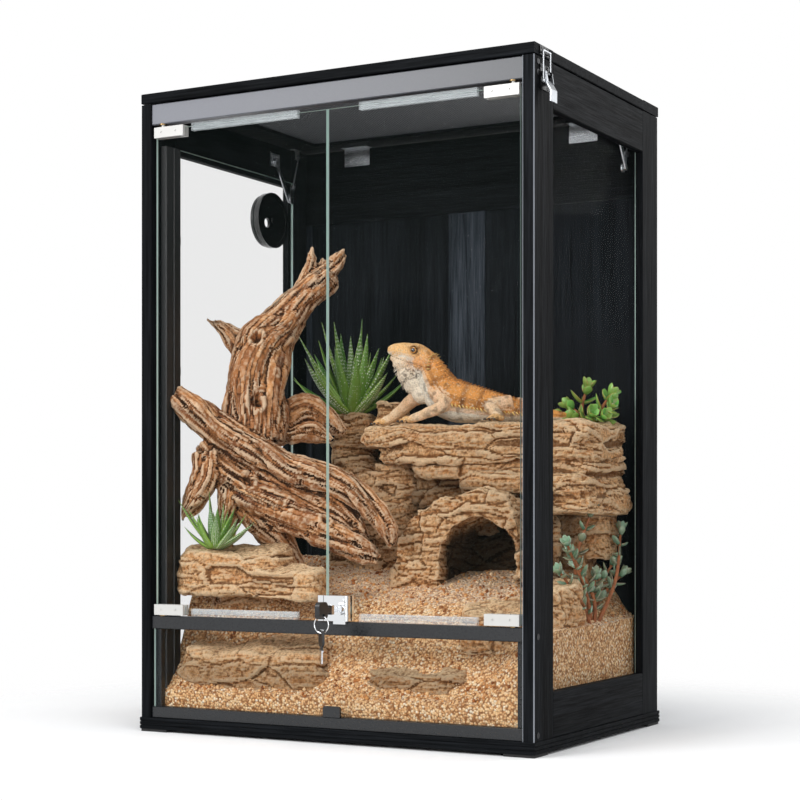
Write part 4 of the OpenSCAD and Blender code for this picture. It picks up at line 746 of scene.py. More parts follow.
# ---- driftwood
LIMBS = [
    # points from the left wall on the base board, radii, strands, turns of them in 100 mm
    ([(93, -85, 397), (89, -80, 443), (86, -75, 482), (84, -68, 515), (86, -55, 546), (99, -30, 578), (116, 0, 612),
      (136, 25, 645), (148, 40, 669)], [46, 47, 46, 45, 41, 33, 26, 22, 15], 7, 0.12),
    ([(4, -168, 460), (36, -160, 439), (63, -145, 416), (93, -128, 396), (131, -112, 374), (164, -100, 356),
      (205, -88, 346), (246, -82, 330), (281, -78, 305), (308, -76, 273), (317, -76, 243)],
     [20, 23, 24, 25, 24, 23, 22, 21, 19, 16, 10], 5, 0.22),
    ([(81, -110, 369), (128, -100, 341), (175, -92, 320), (223, -85, 305), (259, -80, 280), (280, -78, 256)],
     [20, 20, 17, 14, 11, 6], 3, 0.2),
    ([(39, -140, 397), (65, -130, 359), (98, -112, 327), (141, -104, 300), (188, -98, 281), (231, -92, 263),
      (267, -86, 244), (299, -82, 226)], [18, 26, 30, 31, 28, 24, 20, 12], 5, -0.2),
    ([(116, -50, 423), (134, -25, 446), (160, 0, 434), (186, 8, 413)], [22, 24, 20, 12], 4, 0.25),
    ([(131, -60, 405), (153, -30, 412), (180, -12, 400)], [14, 16, 9], 3, 0.25),
    ([(46, -150, 382), (46, -150, 345), (28, -152, 310), (7, -155, 283)], [20, 22, 17, 10], 4, 0.2),
    ([(73, -130, 348), (74, -128, 303), (58, -126, 259), (52, -122, 150)], [20, 20, 18, 14], 4, 0.2),
    ([(90, -105, 321), (112, -95, 279), (134, -85, 248), (156, -78, 190), (160, -74, 140)], [32, 28, 22, 20, 16], 4,
     -0.2),
    ([(66, -75, 538), (41, -85, 563), (27, -92, 574), (14, -100, 583)], [21, 14, 10, 6], 3, 0.3),
    ([(83, -95, 526), (84, -103, 556)], [14, 8], 2, 0.3),
    ([(115, 5, 618), (118, 20, 662), (119, 28, 696)], [15, 11, 8], 3, 0.3),
    ([(131, 20, 640), (134, 32, 662), (134, 38, 682)], [13, 10, 7], 2, 0.3),
    ([(141, 30, 651), (151, 45, 672), (161, 55, 693)], [16, 13, 9], 3, 0.3),
    ([(130, 15, 621), (150, 30, 632), (162, 38, 643)], [13, 9, 6], 2, 0.3),
]


# knot holes: place from the left wall on the base board, radius and depth
KNOTS = [((116, -122, 457), 9, 16), ((100, -98, 552), 8, 12), ((63, -150, 505), 6, 7), ((170, -118, 300), 7, 9),
         ((112, -136, 345), 8, 9), ((134, -92, 500), 5, 6), ((228, -112, 285), 6, 7)]


def seam(values, width):
    """1 where the values cross 0, falling to 0 at a width from it."""
    return np.clip(width - np.abs(values), 0, 1) / width


def nearest(points, soup):
    """For each point, the value of the soup's nearest point."""
    at, values = soup.points(), soup.layer()
    tree = kdtree.KDTree(len(at))
    for i, p in enumerate(at):
        tree.insert(p, i)
    tree.balance()
    return values[[tree.find(p)[1] for p in points]]


def driftwood():
    rng = np.random.default_rng(7)
    soup = Soup()
    for points, radii, strands, twist in LIMBS:
        c, r = spline([wall_left(p) for p in points], radii, 3.5)
        _, u, v = frames(c)
        s = run(c)
        offset = 100 * len(soup.verts)
        for k in range(strands):
            phase = 2 * np.pi * k / strands + rng.uniform(-0.35, 0.35)
            a = phase + 2 * np.pi * twist * s / 100 + 0.35 * np.sin(s / rng.uniform(25, 60) + k)
            reach = r * (0.44 + 0.05 * np.sin(s / 37 + 2 * k))
            stop = len(c) - int(rng.uniform(0, 5) * (k > 0))
            path = (c + reach[:, None] * (np.cos(a)[:, None] * u + np.sin(a)[:, None] * v))[:stop]
            size = (r * rng.uniform(0.54, 0.66) * (1 + 0.12 * np.sin(s / rng.uniform(14, 30) + 3 * k)))[:stop]
            end = np.minimum(1, (np.arange(len(path))[::-1] + 1) / 6)
            verts, faces, local = tube(path, size * (0.35 + 0.65 * end), 14)
            soup.add(verts, faces, local + [offset + 47 * k, 13 * k, 0])
    mesh = fuse(soup, WOOD_VOXEL)
    found = {}

    def move(p, normal):
        g = nearest(p, soup)
        found["grain"] = g
        q = g * np.array([1 / 5.0, 1 / 5.0, 1 / 60.0])
        groove = fractal(q, 5, 3)
        crack = seam(lattice(g * np.array([1 / 9, 1 / 9, 1 / 90]), 15), 0.18)
        bark = fractal(p / np.array([15, 15, 22]), 8, 4)
        split = seam(lattice(g * np.array([1 / 21, 1 / 21, 1 / 140]), 16), 0.10)
        holes = np.zeros(len(p))
        for at, size, deep in KNOTS:
            d = np.linalg.norm((p - wall_left(at)) * np.array([1, 1, 0.8]), axis=1) / size
            holes += (2.2 + 2.0 * bark) * bell((d - 1.5) / 0.5) - deep * bell(d * (1 + 0.5 * bark), 4)
        return 2.4 * groove - 3.2 * crack ** 1.5 - 4.5 * split ** 1.5 + 3.6 * bark + holes

    obj = sculpt("driftwood_root", mesh, move, wood_material("root_wood"), smoothing=1, cavity=(2, 7),
                 limits=((-280.6, -199.5, BASE + 5), (290, 202, 830)), grain=lambda p, n: found["grain"] * MM)
    settle(obj, "wood", "driftwood")


# ---- rocks
INSIDE = ((-290.4, -199.5, BASE + 5), (290.4, 202.5, 830))
ROOM = 0.97          # share of a loose rock's size that its block takes, the rest is for relief


def slab(soup, centre, size, seed, turn=0.0, lean=0.0, crown=0.94, power=0.62):
    """A rounded, squarish block with an uneven outline, standing on centre. Its top draws in to the share crown and
    rises to the back by lean; a lower power makes it squarer."""
    n, rows = 64, max(4, int(size[2] / 5))
    a = np.arange(n) * 2 * np.pi / n
    wave = np.stack([np.cos(a) * 1.6, np.sin(a) * 1.6, np.full(n, seed * 3.1)], 1)
    grow = 1 + 0.07 * fractal(wave, seed, 3)
    square = [np.sign(w) * np.abs(w) ** power for w in (np.cos(a), np.sin(a))]
    c, s = np.cos(np.radians(turn)), np.sin(np.radians(turn))
    verts = []
    for k in range(rows + 1):
        h = k / rows
        inset = 1 - (1 - crown) * h ** 2
        inset *= 1 - 0.05 * max(0, 1 - min(h, 1 - h) * size[2] / 6) ** 2
        x, y = (size[i] / 2 * grow * inset * square[i] for i in (0, 1))
        back = s * x + c * y
        verts.append(np.stack([c * x - s * y + centre[0], back + centre[1],
                               centre[2] + h * size[2] + h * lean * back], 1))
    soup.add(np.vstack(verts), hoops(rows + 1, n))


def pile(place, blocks, crown, power=0.62, soup=None):
    """Slabs in a soup, each (centre, size, seed, turn, lean) as far as it needs them."""
    soup = soup or Soup()
    for centre, size, seed, *pose in blocks:
        slab(soup, place(centre), size, seed, *pose, crown=crown, power=power)
    return soup


def stone_piece(name, soup, move, material, shade, *replaced, smoothing=2):
    obj = sculpt(name, fuse(soup, STONE_VOXEL), move, material, smoothing, limits=INSIDE, shade=shade)
    settle(obj, "rock", *replaced)


def weathered(p, seed):
    """Lumps, chips and pits all over a stone."""
    chip = np.clip(fractal(p / 31, seed, 3) - 0.08, 0, 1) ** 0.7
    return (7.0 * fractal(p / 66, seed + 1, 3) + 2.9 * fractal(p / 12.5, seed + 2, 4) - 6.5 * chip
            - 2.0 * np.clip(lattice(p / 4.4, seed + 3) - 0.25, 0, 1))


def strata(seed, flat=105.0, high=23.0, depth=6.5, crack=2.4, round_below=0.0):
    """Sandstone relief: flat broken beds of uneven reach with seams between them, rounder boulders low down."""
    def move(p, normal):
        side = np.clip(1.3 * np.sqrt(np.clip(1 - normal[:, 2] ** 2, 0, 1)), 0, 1)
        side = side * (0.35 + 0.65 * ease((p[:, 2] - round_below) / 30))
        bent = p + np.stack([18 * lattice(p / 60, seed), 18 * lattice(p / 60, seed + 1),
                             11 * lattice(p / 80, seed + 2) + 2.5 * lattice(p / 24, seed + 3)], 1)
        big, big_edge = chunks(bent / np.array([flat, flat, high]), seed + 4)
        fine, fine_edge = chunks(bent / np.array([0.5 * flat, 0.5 * flat, 0.24 * high]), seed + 5)
        seams = crack * bell(big_edge / 0.06) + 0.25 * crack * bell(fine_edge / 0.1)
        return side * (depth * big + 0.26 * depth * fine - seams) + (1 - side) * 0.8 * big + weathered(p, seed + 6)
    return move


def ledge(stone):
    """A long slab, shorter ones under it, the stack that carries them and boulders behind the cave."""
    soup = pile(wall_right, [((-200, 99, 391), (398, 194, 33), 1), ((-187, 97, 367), (370, 190, 29), 19),
                             ((-158, 104, 345), (306, 182, 27), 26), ((-110, 97, 316), (218, 192, 36), 2),
                             ((-58, 103, 292), (114, 182, 30), 27)], 0.97, 0.5)
    pile(wall_right, [((-62, 158, 226), (72, 84, 74), 28), ((-104, 142, 110), (104, 112, 180), 17),
                      ((-96, 62, 298), (168, 96, 24), 16), ((-118, 144, 110), (120, 112, 182), 4)], 0.84, 0.7, soup)
    pile(wall_right, [((-262, 112, 300), (120, 110, 72), 18, 9), ((-208, 104, 262), (96, 90, 84), 20, -7),
                      ((-286, 122, 236), (92, 96, 84), 21, 4), ((-234, 128, 180), (150, 96, 100), 22, 0),
                      ((-352, 104, 306), (70, 80, 58), 23, 6)], 0.8, soup=soup)

    def behind(p, normal):
        """The stone under the ledge, left of and above the cave, lies in the ledge's shadow."""
        low = ease((BASE + 352 - p[:, 2] - 0.12 * (p[:, 0] - 60)) / 22)
        return 0.62 * low * ease((248 - p[:, 0]) / 30)

    stone_piece("ledge_rock", soup, strata(11, round_below=BASE + 285), stone, behind, "rock_ledge")


def cave(stone):
    """An arch of bedded stone with an end slab behind its opening, darkened inside by painted shade."""
    outline = [(8, 140), (5, 240), (22, 280), (70, 312), (140, 330), (185, 318), (205, 275), (212, 140), (196, 140),
               (199, 236), (174, 271), (138, 288), (104, 274), (82, 243), (73, 140)]
    n = len(outline)
    verts = np.array([(x, y, BASE + z) for y in (-43, 58) for x, z in outline], float)
    faces = [tuple(range(n)), tuple(range(2 * n - 1, n - 1, -1))]
    faces += [(j, n + j, n + (j + 1) % n, (j + 1) % n) for j in range(n)]
    soup = Soup()
    soup.add(verts, faces)
    slab(soup, (144, 68, BASE + 150), (150, 22, 150), 44)

    def shade(p, normal):
        """How deep a point lies inside the cave, where painted shade darkens the stone."""
        hole = ease((76 - np.hypot((p[:, 0] - 137) / 1.12, 0.9 * (p[:, 2] - BASE - 205))) / 14)
        return hole * ease((p[:, 1] + 45) / 34)

    stone_piece("cave_rock", soup, strata(31, 58.0, 24.0, 6.0, 2.0), stone, shade, "rock_cave", smoothing=5)


def rocks():
    stone = rock_material("sandstone")
    # painted shade: a darker, greyer copy of the sandstone for the rocks at the back on the left
    shaded_stone = rock_material("shaded_sandstone", "#d8a878", "#b8824f", "#432614", "#947658", 0.5)
    ledge(stone)
    cave(stone)

    def foot(p, normal):
        """Loose rocks are in shade low down in front."""
        return 0.42 * ease((BASE + 96 - p[:, 2]) / 26) * ease((-110 - p[:, 1]) / 20)

    # each apart from the next
    left = [((98, -104, 110), (150, 44, 80), 29, 0), ((98, -142, 176), (182, 88, 70), 5, 3, 0.24),
            ((196, -161, 172), (128, 60, 46), 6, -4, 0.3), ((140, -157, 28), (262, 76, 82), 7, 1, 0.36)]
    back = [((142, 128, 180), (96, 110, 140), 8, 12), ((145, 128, 320.6), (92, 96, 50.8), 9, -8),
            ((138, 125, 372), (78, 84, 78), 10, 20), ((238, 80, 195), (78, 78, 115), 11, -6),
            ((236, 85, 310.6), (72, 66, 60), 12, 8), ((206, 70, 250), (70, 60, 110), 24, 3),
            ((212, 118, 424), (64, 52, 42), 25, 15)]
    right = [((-186, -160, 32), (178, 56, 52), 13, -2, 0.36), ((-84, -120, 100), (112, 60, 70), 14, 6, 0.4),
             ((-36, -36, 100), (62, 142, 96), 15, 3, 0.1)]
    for name, place, group, material, *replaced in (("rocks_left", wall_left, left, stone, "loose_rocks"),
                                                    ("rocks_back", wall_left, back, shaded_stone),
                                                    ("rocks_right", wall_right, right, stone)):
        blocks = [(centre, [ROOM * v for v in size], *rest) for centre, size, *rest in group]
        relief = strata(group[-1][2] + 50, 80.0, 24.0, 5.0, 2.0)
        stone_piece(name, pile(place, blocks, 0.9), relief, material, foot, *replaced)


# ---- plants
def blade(soup, base, tip, width, thick, number, rise=0.12, wide_at=0.25, end=1.6, up=(0, 0, 1)):
    """A fleshy leaf bowed above its chord; its values are (across, along, leaf number)."""
    rows, seg = 14, 12
    base, tip, up = (np.array(v, float) for v in (base, tip, up))
    span = tip - base
    middle = base + 0.5 * span - rise * np.linalg.norm(span) * unit(up)
    t = np.linspace(0, 1, rows)
    c = np.outer((1 - t) ** 2, base) + np.outer(2 * t * (1 - t), middle) + np.outer(t ** 2, tip)
    ahead = unit(np.gradient(c, axis=0))
    side = unit(np.cross(ahead, up + 1e-4))
    top = np.cross(side, ahead)
    belly = 0.62 + 0.38 * np.sin(np.pi * np.clip(t / (2 * wide_at), 0, 0.5))
    w = width * np.clip(belly * (1 - t ** (1 + end)), 0.02, 1)
    h = thick * np.clip((1 - t ** 2.4), 0.06, 1)
    a = np.arange(seg) * 2 * np.pi / seg
    lift = np.where(np.sin(a) > 0, 0.35 - 0.25 * np.cos(2 * a) ** 2, 1.0)
    verts = (c[:, None] + (w[:, None] * np.cos(a))[..., None] * side[:, None]
             + (h[:, None] * np.sin(a) * lift)[..., None] * top[:, None]).reshape(-1, 3)
    values = np.stack([np.tile(np.cos(a), rows), np.repeat(t, seg), np.full(rows * seg, number)], 1)
    # turned face by face, not by hoops: the normals of the slivers at a leaf's tip follow a face's first corner
    faces = [(f[1], f[0], f[3], f[2]) if len(f) == 4 else f[::-1] for f in hoops(rows, seg)]
    soup.add(verts, faces, values)


GOLDEN_TURN = 2.39996
# root and leaf tips from the left wall on the base board, number of further leaves, their reach, width of a leaf
HAWORTHIAS = [((143, 108, 449), [(33, 110, 505), (73, 60, 570), (98, 90, 590), (108, 110, 592), (153, 120, 595),
                                 (200, 90, 545), (180, 70, 570), (60, 130, 545)], 22, 128, 11.5),
              ((72, -162, 244), [(18, -178, 312), (63, -165, 325), (112, -172, 300), (143, -168, 280),
                                 (40, -185, 300), (88, -180, 300)], 14, 70, 8)]


def haworthias():
    rng = np.random.default_rng(3)
    soup = Soup()
    for root, tips, more, reach, width in HAWORTHIAS:
        base = np.array(wall_left(root), float)
        for tip in tips:
            blade(soup, base, wall_left(tip), width, 0.62 * width, rng.random(), 0.10)
        for i in range(more):
            f = i / more
            turn, pitch = GOLDEN_TURN * i + 1.1, 0.5 + 0.95 * f
            out = np.array([np.cos(turn), np.sin(turn), 0])
            length = reach * rng.uniform(0.72, 1.02)
            tip = base + length * (np.cos(pitch) * out + np.sin(pitch) * np.array([0, 0, 1]))
            tip = np.clip(tip, (-284, -190, 0), (284, 196, 800))
            blade(soup, base + 8 * (1 - f) * out, tip, width * rng.uniform(0.75, 1), 0.55 * width, rng.random(),
                  rng.uniform(0.05, 0.18), up=np.array([0, 0, 1]) - 0.6 * out)
    green = leaf_material("haworthia", "#689439", "#437a34", "#a9c653", spots=26)
    settle(soup.make("haworthias", green, leafuv=soup.layer()), "plant", "plants")


def shoot(leaves, stems, start, end, pairs, leaf, bare, rng):
    """A stem with opposite pairs of leaves above its bare share, each pair turned from the last, and a tuft on its
    end. leaf is (length, width, thickness)."""
    start, end = np.array(start, float), np.array(end, float)
    length, width, thick = leaf
    bend = 0.13 * np.linalg.norm(end - start) * unit(rng.uniform(-1, 1, 3) * [1, 0.6, 0.2])
    c, r = spline([start, (start + end) / 2 + bend, end], [3.4, 2.6, 1.7], 2.5)
    stems.add(*tube(c, r, 10))
    t, u, v = frames(c)
    first = int(bare * len(c))
    for k in range(pairs):
        i = first + int((len(c) - 1 - first) * (k + 0.5) / pairs)
        turn = k * np.pi / 2 + rng.uniform(-0.3, 0.3) + 0.7
        for flip in (0, np.pi):
            out = np.cos(turn + flip) * u[i] + np.sin(turn + flip) * v[i]
            ahead = unit(out + rng.uniform(0.35, 0.75) * t[i] + [0, 0, 0.25])
            grown = length * rng.uniform(0.8, 1.12) * (1 - 0.25 * k / pairs)
            base = c[i] + 1.5 * out
            blade(leaves, base, base + grown * ahead, width, thick, rng.random(), 0.09, 0.62, 5,
                  up=t[i] + [0, 0, 0.4] - 0.4 * out)
    for k in range(6):
        out = np.cos(1.047 * k) * u[-1] + np.sin(1.047 * k) * v[-1]
        tip = c[-1] + 0.75 * length * rng.uniform(0.8, 1.1) * unit(0.75 * out + t[-1])
        blade(leaves, c[-1], tip, 0.85 * width, thick, rng.random(), 0.07, 0.62, 5, up=t[-1] - 0.5 * out)


# name, root and shoot tips from the right wall on the base board, pairs of leaves, (length, width, thickness) of one,
# bare share of a stem, colours
SUCCULENTS = [("jade", (-55, 120, 420), [(-53, 118, 476), (-17, 118, 464), (-82, 118, 450), (-12, 112, 448),
                                         (-68, 100, 434), (-38, 96, 436), (-96, 108, 432), (-22, 104, 432)],
               2, (23, 7.0, 4.0), 0.5, ("#4f9a41", "#8ccf66", "#b8683a", None, 0.1)),
              ("stonecrop", (-26, 62, 112), [(-19, 54, 299), (-14, 150, 270), (-24, -22, 250), (-18, 66, 206),
                                             (-30, -34, 212), (-16, 130, 224), (-40, 30, 236), (-14, 160, 206)],
               6, (19, 5.4, 3.2), 0.42, ("#47785a", "#9cbf9f", "#a8705a", None, 0.2))]


def succulents():
    rng = np.random.default_rng(12)
    stems = Soup()
    for name, root, tips, pairs, leaf, bare, colours in SUCCULENTS:
        soup = Soup()
        for tip in tips:
            base = np.array(wall_right(root)) + rng.uniform(-5, 5, 3) * [1, 1, 0]
            shoot(soup, stems, base, wall_right(tip), pairs, leaf, bare, rng)
        points = np.clip(soup.points(), (-290, -199, 24), (290, 202, 830))
        green = leaf_material(name, *colours)
        settle(make(name + "_leaves", points * MM, soup.faces, green, leafuv=soup.layer()), "plant")
    woody = stem_material("succulent_stem", "#b5714a")
    settle(stems.make("succulent_stems", woody), "plant")


# ---- bearded dragon
SPINE = [(-38, 21.4, 554), (-33, 22.6, 554), (-22, 25.5, 553.5), (-6, 29, 550), (10, 33, 543), (24, 37.5, 522),
         (34, 41, 502), (46, 44.5, 485), (65, 49.5, 476), (85, 55, 472), (105, 60.5, 468), (123, 65, 465),
         (140, 69.5, 462.5), (154, 73.5, 461), (175, 80, 458), (195, 90, 455.5), (212, 104, 453.5), (222, 122, 451.5),
         (226, 142, 450), (224, 160, 449)]
GIRTH = [4.5, 8, 11.5, 14.5, 17.5, 22, 26, 30, 30, 27.5, 24.5, 21.5, 19, 15.5, 10.5, 8.5, 6.5, 5, 3.6, 2.2]
WIDTHS = [(-40, 1.0), (-10, 1.0), (10, 0.95), (40, 1.12), (100, 1.3), (160, 1.2), (230, 1.05)]   # of height, at x
HOOP = 28            # points around the body
HEAD, BACK, BELLY, BAR, GOLD, ORANGE = (
    np.array(linear(colour)) for colour in ("#ffca88", "#f8aa58", "#fff6e2", "#6e3b1a", "#ffd582", "#f0813a"))
EAR = (30.5, 17.0, 525)
# shoulder or hip to palm, then where the toes point, for each leg
LEGS = [([(40, 24, 491), (60, 12, 471), (30, 9, 458), (6, 12, 451)], (-1, -0.1)),
        ([(2, 50, 490), (-20, 54, 478), (-38, 60, 467), (-54, 58, 456), (-65, 56, 451)], (-1, 0.1)),
        ([(146, 58, 473), (122, 38, 468), (138, 30, 456), (142, 26, 451)], (-0.7, -0.7)),
        ([(150, 84, 471), (126, 106, 465), (144, 112, 455), (152, 114, 450)], (-0.3, 0.9))]


def rgba(tone):
    return np.hstack([np.clip(tone, 0, 1), np.ones((len(tone), 1))])


def tinted(tone, share, colour):
    return tone * (1 - share) + share * colour


def eye_at(side):
    """The middle of the near (-1) or far (1) eye."""
    return np.array([4.5 - 3.6 * side, 32 + 17.0 * side, 552.0])


def dragon_body(soup):
    """Trunk, tail and head along the spine, with the bars of its back."""
    spine, girth = spline(SPINE, GIRTH, 3)
    wide = np.interp(spine[:, 0], *zip(*WIDTHS))
    verts, faces, local = tube(spine, girth, HOOP, lambda a, k: 1 / np.hypot(np.cos(a), np.sin(a) / wide[k]))
    height, along = local[:, 0] / np.repeat(girth, HOOP), local[:, 2]
    body = np.clip((verts[:, 0] - 5) / 35, 0, 1)[:, None]
    bars = np.clip(np.sin(along / 4.6 + 0.6 * np.sin(along / 9)) * 1.6 - 0.6, 0, 1)[:, None] * body
    flank = bell((height - 0.22) / 0.2)[:, None] * body
    low = np.clip((-height - 0.05) / 0.4, 0, 1)[:, None]
    tone = HEAD
    for share, colour in ((body, BACK), (0.55 * bars, BAR), (0.5 * flank, BAR), (low, BELLY)):
        tone = tinted(tone, share, colour)
    soup.add(verts, faces, tone)
    return spine, girth, wide


def lump(soup, at, radii, colour):
    verts, faces, _ = ball(at, radii, rings=12, seg=18)
    soup.add(verts, faces, np.tile(colour, (len(verts), 1)))


def dragon_head(soup):
    for at, size, share in (((-14, 28.5, 535), 16, 0.5), ((-10, 29.5, 519), 16.5, 0.8), ((0, 32.5, 504), 16.5, 0.85),
                            ((12, 35.5, 491), 17, 0.85)):
        lump(soup, at, (size, 0.95 * size, size), share * BELLY + (1 - share) * HEAD)
    for side in (-1, 1):
        lump(soup, (3 - 3 * side, 31.5 + 13.5 * side, 559), (12, 4.2, 3.4), HEAD * 0.9)         # brow
        lump(soup, (14 - 3 * side, 34 + 13.5 * side, 534), (13, 7, 10), HEAD)                   # jaw muscle
        lump(soup, (-22 - side, 26 + 6.5 * side, 551.5), (12, 6, 5.5), HEAD)                    # muzzle
        lump(soup, (-24, 26 + 3 * side, 543), (11, 8, 9), 0.5 * BELLY + 0.5 * HEAD)             # chin
        lump(soup, (-18, 27 + 3 * side, 534), (13, 11, 10), 0.7 * BELLY + 0.3 * HEAD)


def dragon_legs(soup, toes):
    """Legs into the soup of the skin, claws into that of the toes."""
    for path, (tx, ty) in LEGS:
        c, r = spline(path, [12, 9.5, 7.4, 6] if len(path) == 4 else [12, 10, 8.5, 7, 6], 2.5)
        verts, faces, local = tube(c, r, 16)
        f = np.clip(local[:, 2] / local[:, 2].max(), 0, 1)[:, None]
        tone = tinted(0.6 * BACK + 0.4 * BELLY, f, 0.6 * HEAD + 0.4 * BELLY)
        soup.add(verts, faces, tone - 0.04 * np.sin(local[:, 2:] / 3.2))
        palm = np.array(path[-1], float)
        ahead = unit(np.array([tx, ty, 0.0]))
        across = np.array([-ahead[1], ahead[0], 0])
        lump(soup, palm + [0, 0, -1], (8, 7.5, 4.4), 0.9 * HEAD)
        for k, length in enumerate((11, 15, 17, 15, 10)):
            fan = (k - 2) * 0.36
            way = np.cos(fan) * ahead + np.sin(fan) * across
            knuckle = palm + 0.62 * length * way + [0, 0, 1.6]
            tip = palm + (length + 3) * way + [0, 0, -3.6]
            verts, faces, _ = tube(*spline([palm, knuckle, tip], [3, 2.3, 1.7], 1.5), 10)
            soup.add(verts, faces, np.tile(HEAD * 0.85, (len(verts), 1)))
            claw = [tip, tip + 2.6 * way + [0, 0, 0.9], tip + 5 * way + [0, 0, -0.8]]
            toes.add(*tube(*spline(claw, [1.5, 1.0, 0.25], 0.8), 8))


def dragon_skin(soup):
    """One skin over the soup, with folds, mouth, ears and eye sockets."""
    nearby = {}

    def move(p, normal):
        nearby["tint"] = nearest(p, soup)
        fold = np.clip(lattice(p / np.array([9, 14, 9]), 51), 0, 1)
        mouth = bell((p[:, 2] - 548 + 0.36 * (p[:, 0] + 38)) / 1.0) * (p[:, 0] < 22)
        ear = bell(np.linalg.norm(p - EAR, axis=1) / 3.4)
        lids = np.zeros(len(p))
        for side in (-1, 1):
            d = np.linalg.norm(p - eye_at(side), axis=1)
            lids += 1.8 * bell((d - 7.6) / 1.6) - 4.0 * bell(d / 5.6, 4)
        pebbled = 0.8 * fractal(p / 11, 52, 3) + 0.45 * lattice(p / 2.3, 53)
        return pebbled + 0.5 * fold - 1.6 * mouth - 4.5 * ear + lids

    def tint(p, normal):
        hole = bell(np.linalg.norm(p - EAR, axis=1) / 4.0, 4)[:, None]
        patch = np.clip(lattice(p / 6.5, 54) * 2.4 - 0.4, 0, 1)[:, None] * np.clip((p[:, :1] + 10) / 40, 0.25, 1)
        beard = bell(np.linalg.norm((p - [4, 20, 520]) / [20, 14, 15], axis=1), 4)[:, None]
        speck = np.clip(lattice(p / 2.0, 55) * 2.4 + 0.2, 0, 1)[:, None]
        cheek = bell(np.linalg.norm((p - [18, 18, 534]) / [20, 12, 9], axis=1))[:, None]
        tone = nearby["tint"] * (1 - 0.5 * patch) * (1 - 0.92 * hole) * (1 - 0.75 * beard * speck)
        return rgba(tinted(tone, 0.45 * cheek, ORANGE))

    skin = sculpt("dragon_skin", fuse(soup, SKIN_VOXEL), move, skin_material("dragon_skin"), cavity=(2, 6),
                  limits=((-100, -2, LEDGE + 0.5), (286, 198, 700)), tint=tint)
    settle(skin, "dragon", "bearded_dragon")


def dragon_spikes(spine, girth, wide):
    """Spikes along the flanks and the back, in the beard and around the crown."""
    rng = np.random.default_rng(5)
    spikes = Soup()

    def spike(at, way, length, thick, colour):
        at, way = np.array(at, float), unit(np.array(way, float))
        path = [at - way * 1.5, at + 0.5 * length * way, at + length * way + [0.6, 0, 0]]
        verts, faces, local = tube(*spline(path, [thick, 0.6 * thick, 0.12], 1.6), 7)
        f = np.clip(local[:, 2] / local[:, 2].max(), 0, 1)[:, None]
        spikes.add(verts, faces, colour * (1 - 0.5 * f))

    t, u, v = frames(spine)
    for i in range(0, len(spine), 2):
        at = spine[i]
        if not 20 < at[0] < 190:
            continue
        for side in (-1, 1) if at[0] > 60 else ():
            out = unit(side * v[i] - 0.02 * u[i])
            way = out + 0.9 * t[i] - 0.75 * u[i]
            spike(at + out * girth[i] * wide[i] * 0.95, way, 11 if i % 4 else 8, 1.7, GOLD)
        for side in (-0.9, -0.5, -0.15, 0.15, 0.5, 0.9):
            out = unit(u[i] * np.sign(u[i][2]) + side * v[i])
            spike(at + out * girth[i] * 1.02, out + 0.9 * t[i], 3.0, 1.3, BACK * (1.2 if abs(side) > 0.3 else 0.6))
    for k in range(90):                                              # beard and jaw
        a, b = rng.uniform(0.15, 2.4), rng.uniform(-1.25, 1.25)
        centre = np.array([-12, 29, 526] if k % 2 else [-2, 32, 508])
        way = unit(np.array([-np.cos(b) * np.sin(a), np.sin(b) * np.sin(a) - 0.2, -np.cos(a) * 0.8 + 0.1]))
        spike(centre + way * 17 * 0.98, way + [0.3, 0, -0.6], rng.uniform(3, 4.6), 1.2,
              BELLY * rng.uniform(0.25, 0.95))
    for k in range(13):                                              # the crown behind the ears
        b = -1.9 + 3.8 * k / 12
        way = unit(np.array([0.75, np.sin(b) * 1.1, np.cos(b) * 0.9]))
        spike(np.array([20, 36.5, 529]) + way * np.array([13, 20, 21]), way + [1.2, 0, 0.1], 8, 1.9, 0.9 * GOLD)
    g = Graph("dragon_spikes", Specular_IOR_Level=0.3)
    speck = g.noise(g.coords(), 1500, 3)
    horn = g.made(g.mix(g.span(speck, 0.35, 0.7, 0.0, 0.4), g.attribute("tint", "Color"), "#6b3c1c"),
                  (speck, 0.45, 0.7), (speck, 0.0002, 0.5))
    settle(spikes.make("dragon_spikes", horn, tint=rgba(spikes.layer())), "dragon")


def dragon_eyes():
    eyes, ring = Soup(), []
    for side in (-1, 1):
        way = unit(np.array([-0.05 - 0.28 * side, side * 1.0, 0.05]))
        verts, faces, _ = ball((0, 0, 0), (5.2, 5.2, 5.2), rings=24, seg=32)
        ring.append(np.arccos(np.clip(unit(verts) @ way, -1, 1)) / 1.35)
        eyes.add(verts + eye_at(side), faces)
    ring = np.clip(np.concatenate(ring), 0, 1)
    settle(eyes.make("dragon_eyes", eye_material("dragon_eye"), ring=ring), "dragon")


def bearded_dragon():
    soup, toes = Soup(), Soup()
    spine = dragon_body(soup)
    dragon_head(soup)
    dragon_legs(soup, toes)
    dragon_skin(soup)
    dragon_spikes(*spine)
    claw = satin("dragon_claw", "#2a1c14", 0.3, 0.0, 2500, 0.00004, 0.3, 0.3)
    settle(toes.make("dragon_claws", claw), "dragon")
    dragon_eyes()


def corner_bead():
    """The black bead that closes the corner between the side pane and the front stile."""
    outline = [(-290.4, -199.2), (-282.5, -199.2), (-281, -197.7), (-281, -186), (-282, -185), (-282, -180),
               (-281, -179), (-281, -164.5), (-282.5, -163), (-290.4, -163)]
    verts = np.array([(x, y, z) for z in (BASE + 1, BASE + 822) for x, y in outline], float)
    black = satin("bead_black", "#0b0c0e", 0.5, 0.0, 600, 0.0001, 0.2)
    settle(make("corner_bead", verts * MM, hoops(2, len(outline)), black, smooth=False), "black_trim")


lid_screen()
corner_bead()
sand()
driftwood()
rocks()
haworthias()
succulents()
bearded_dragon()


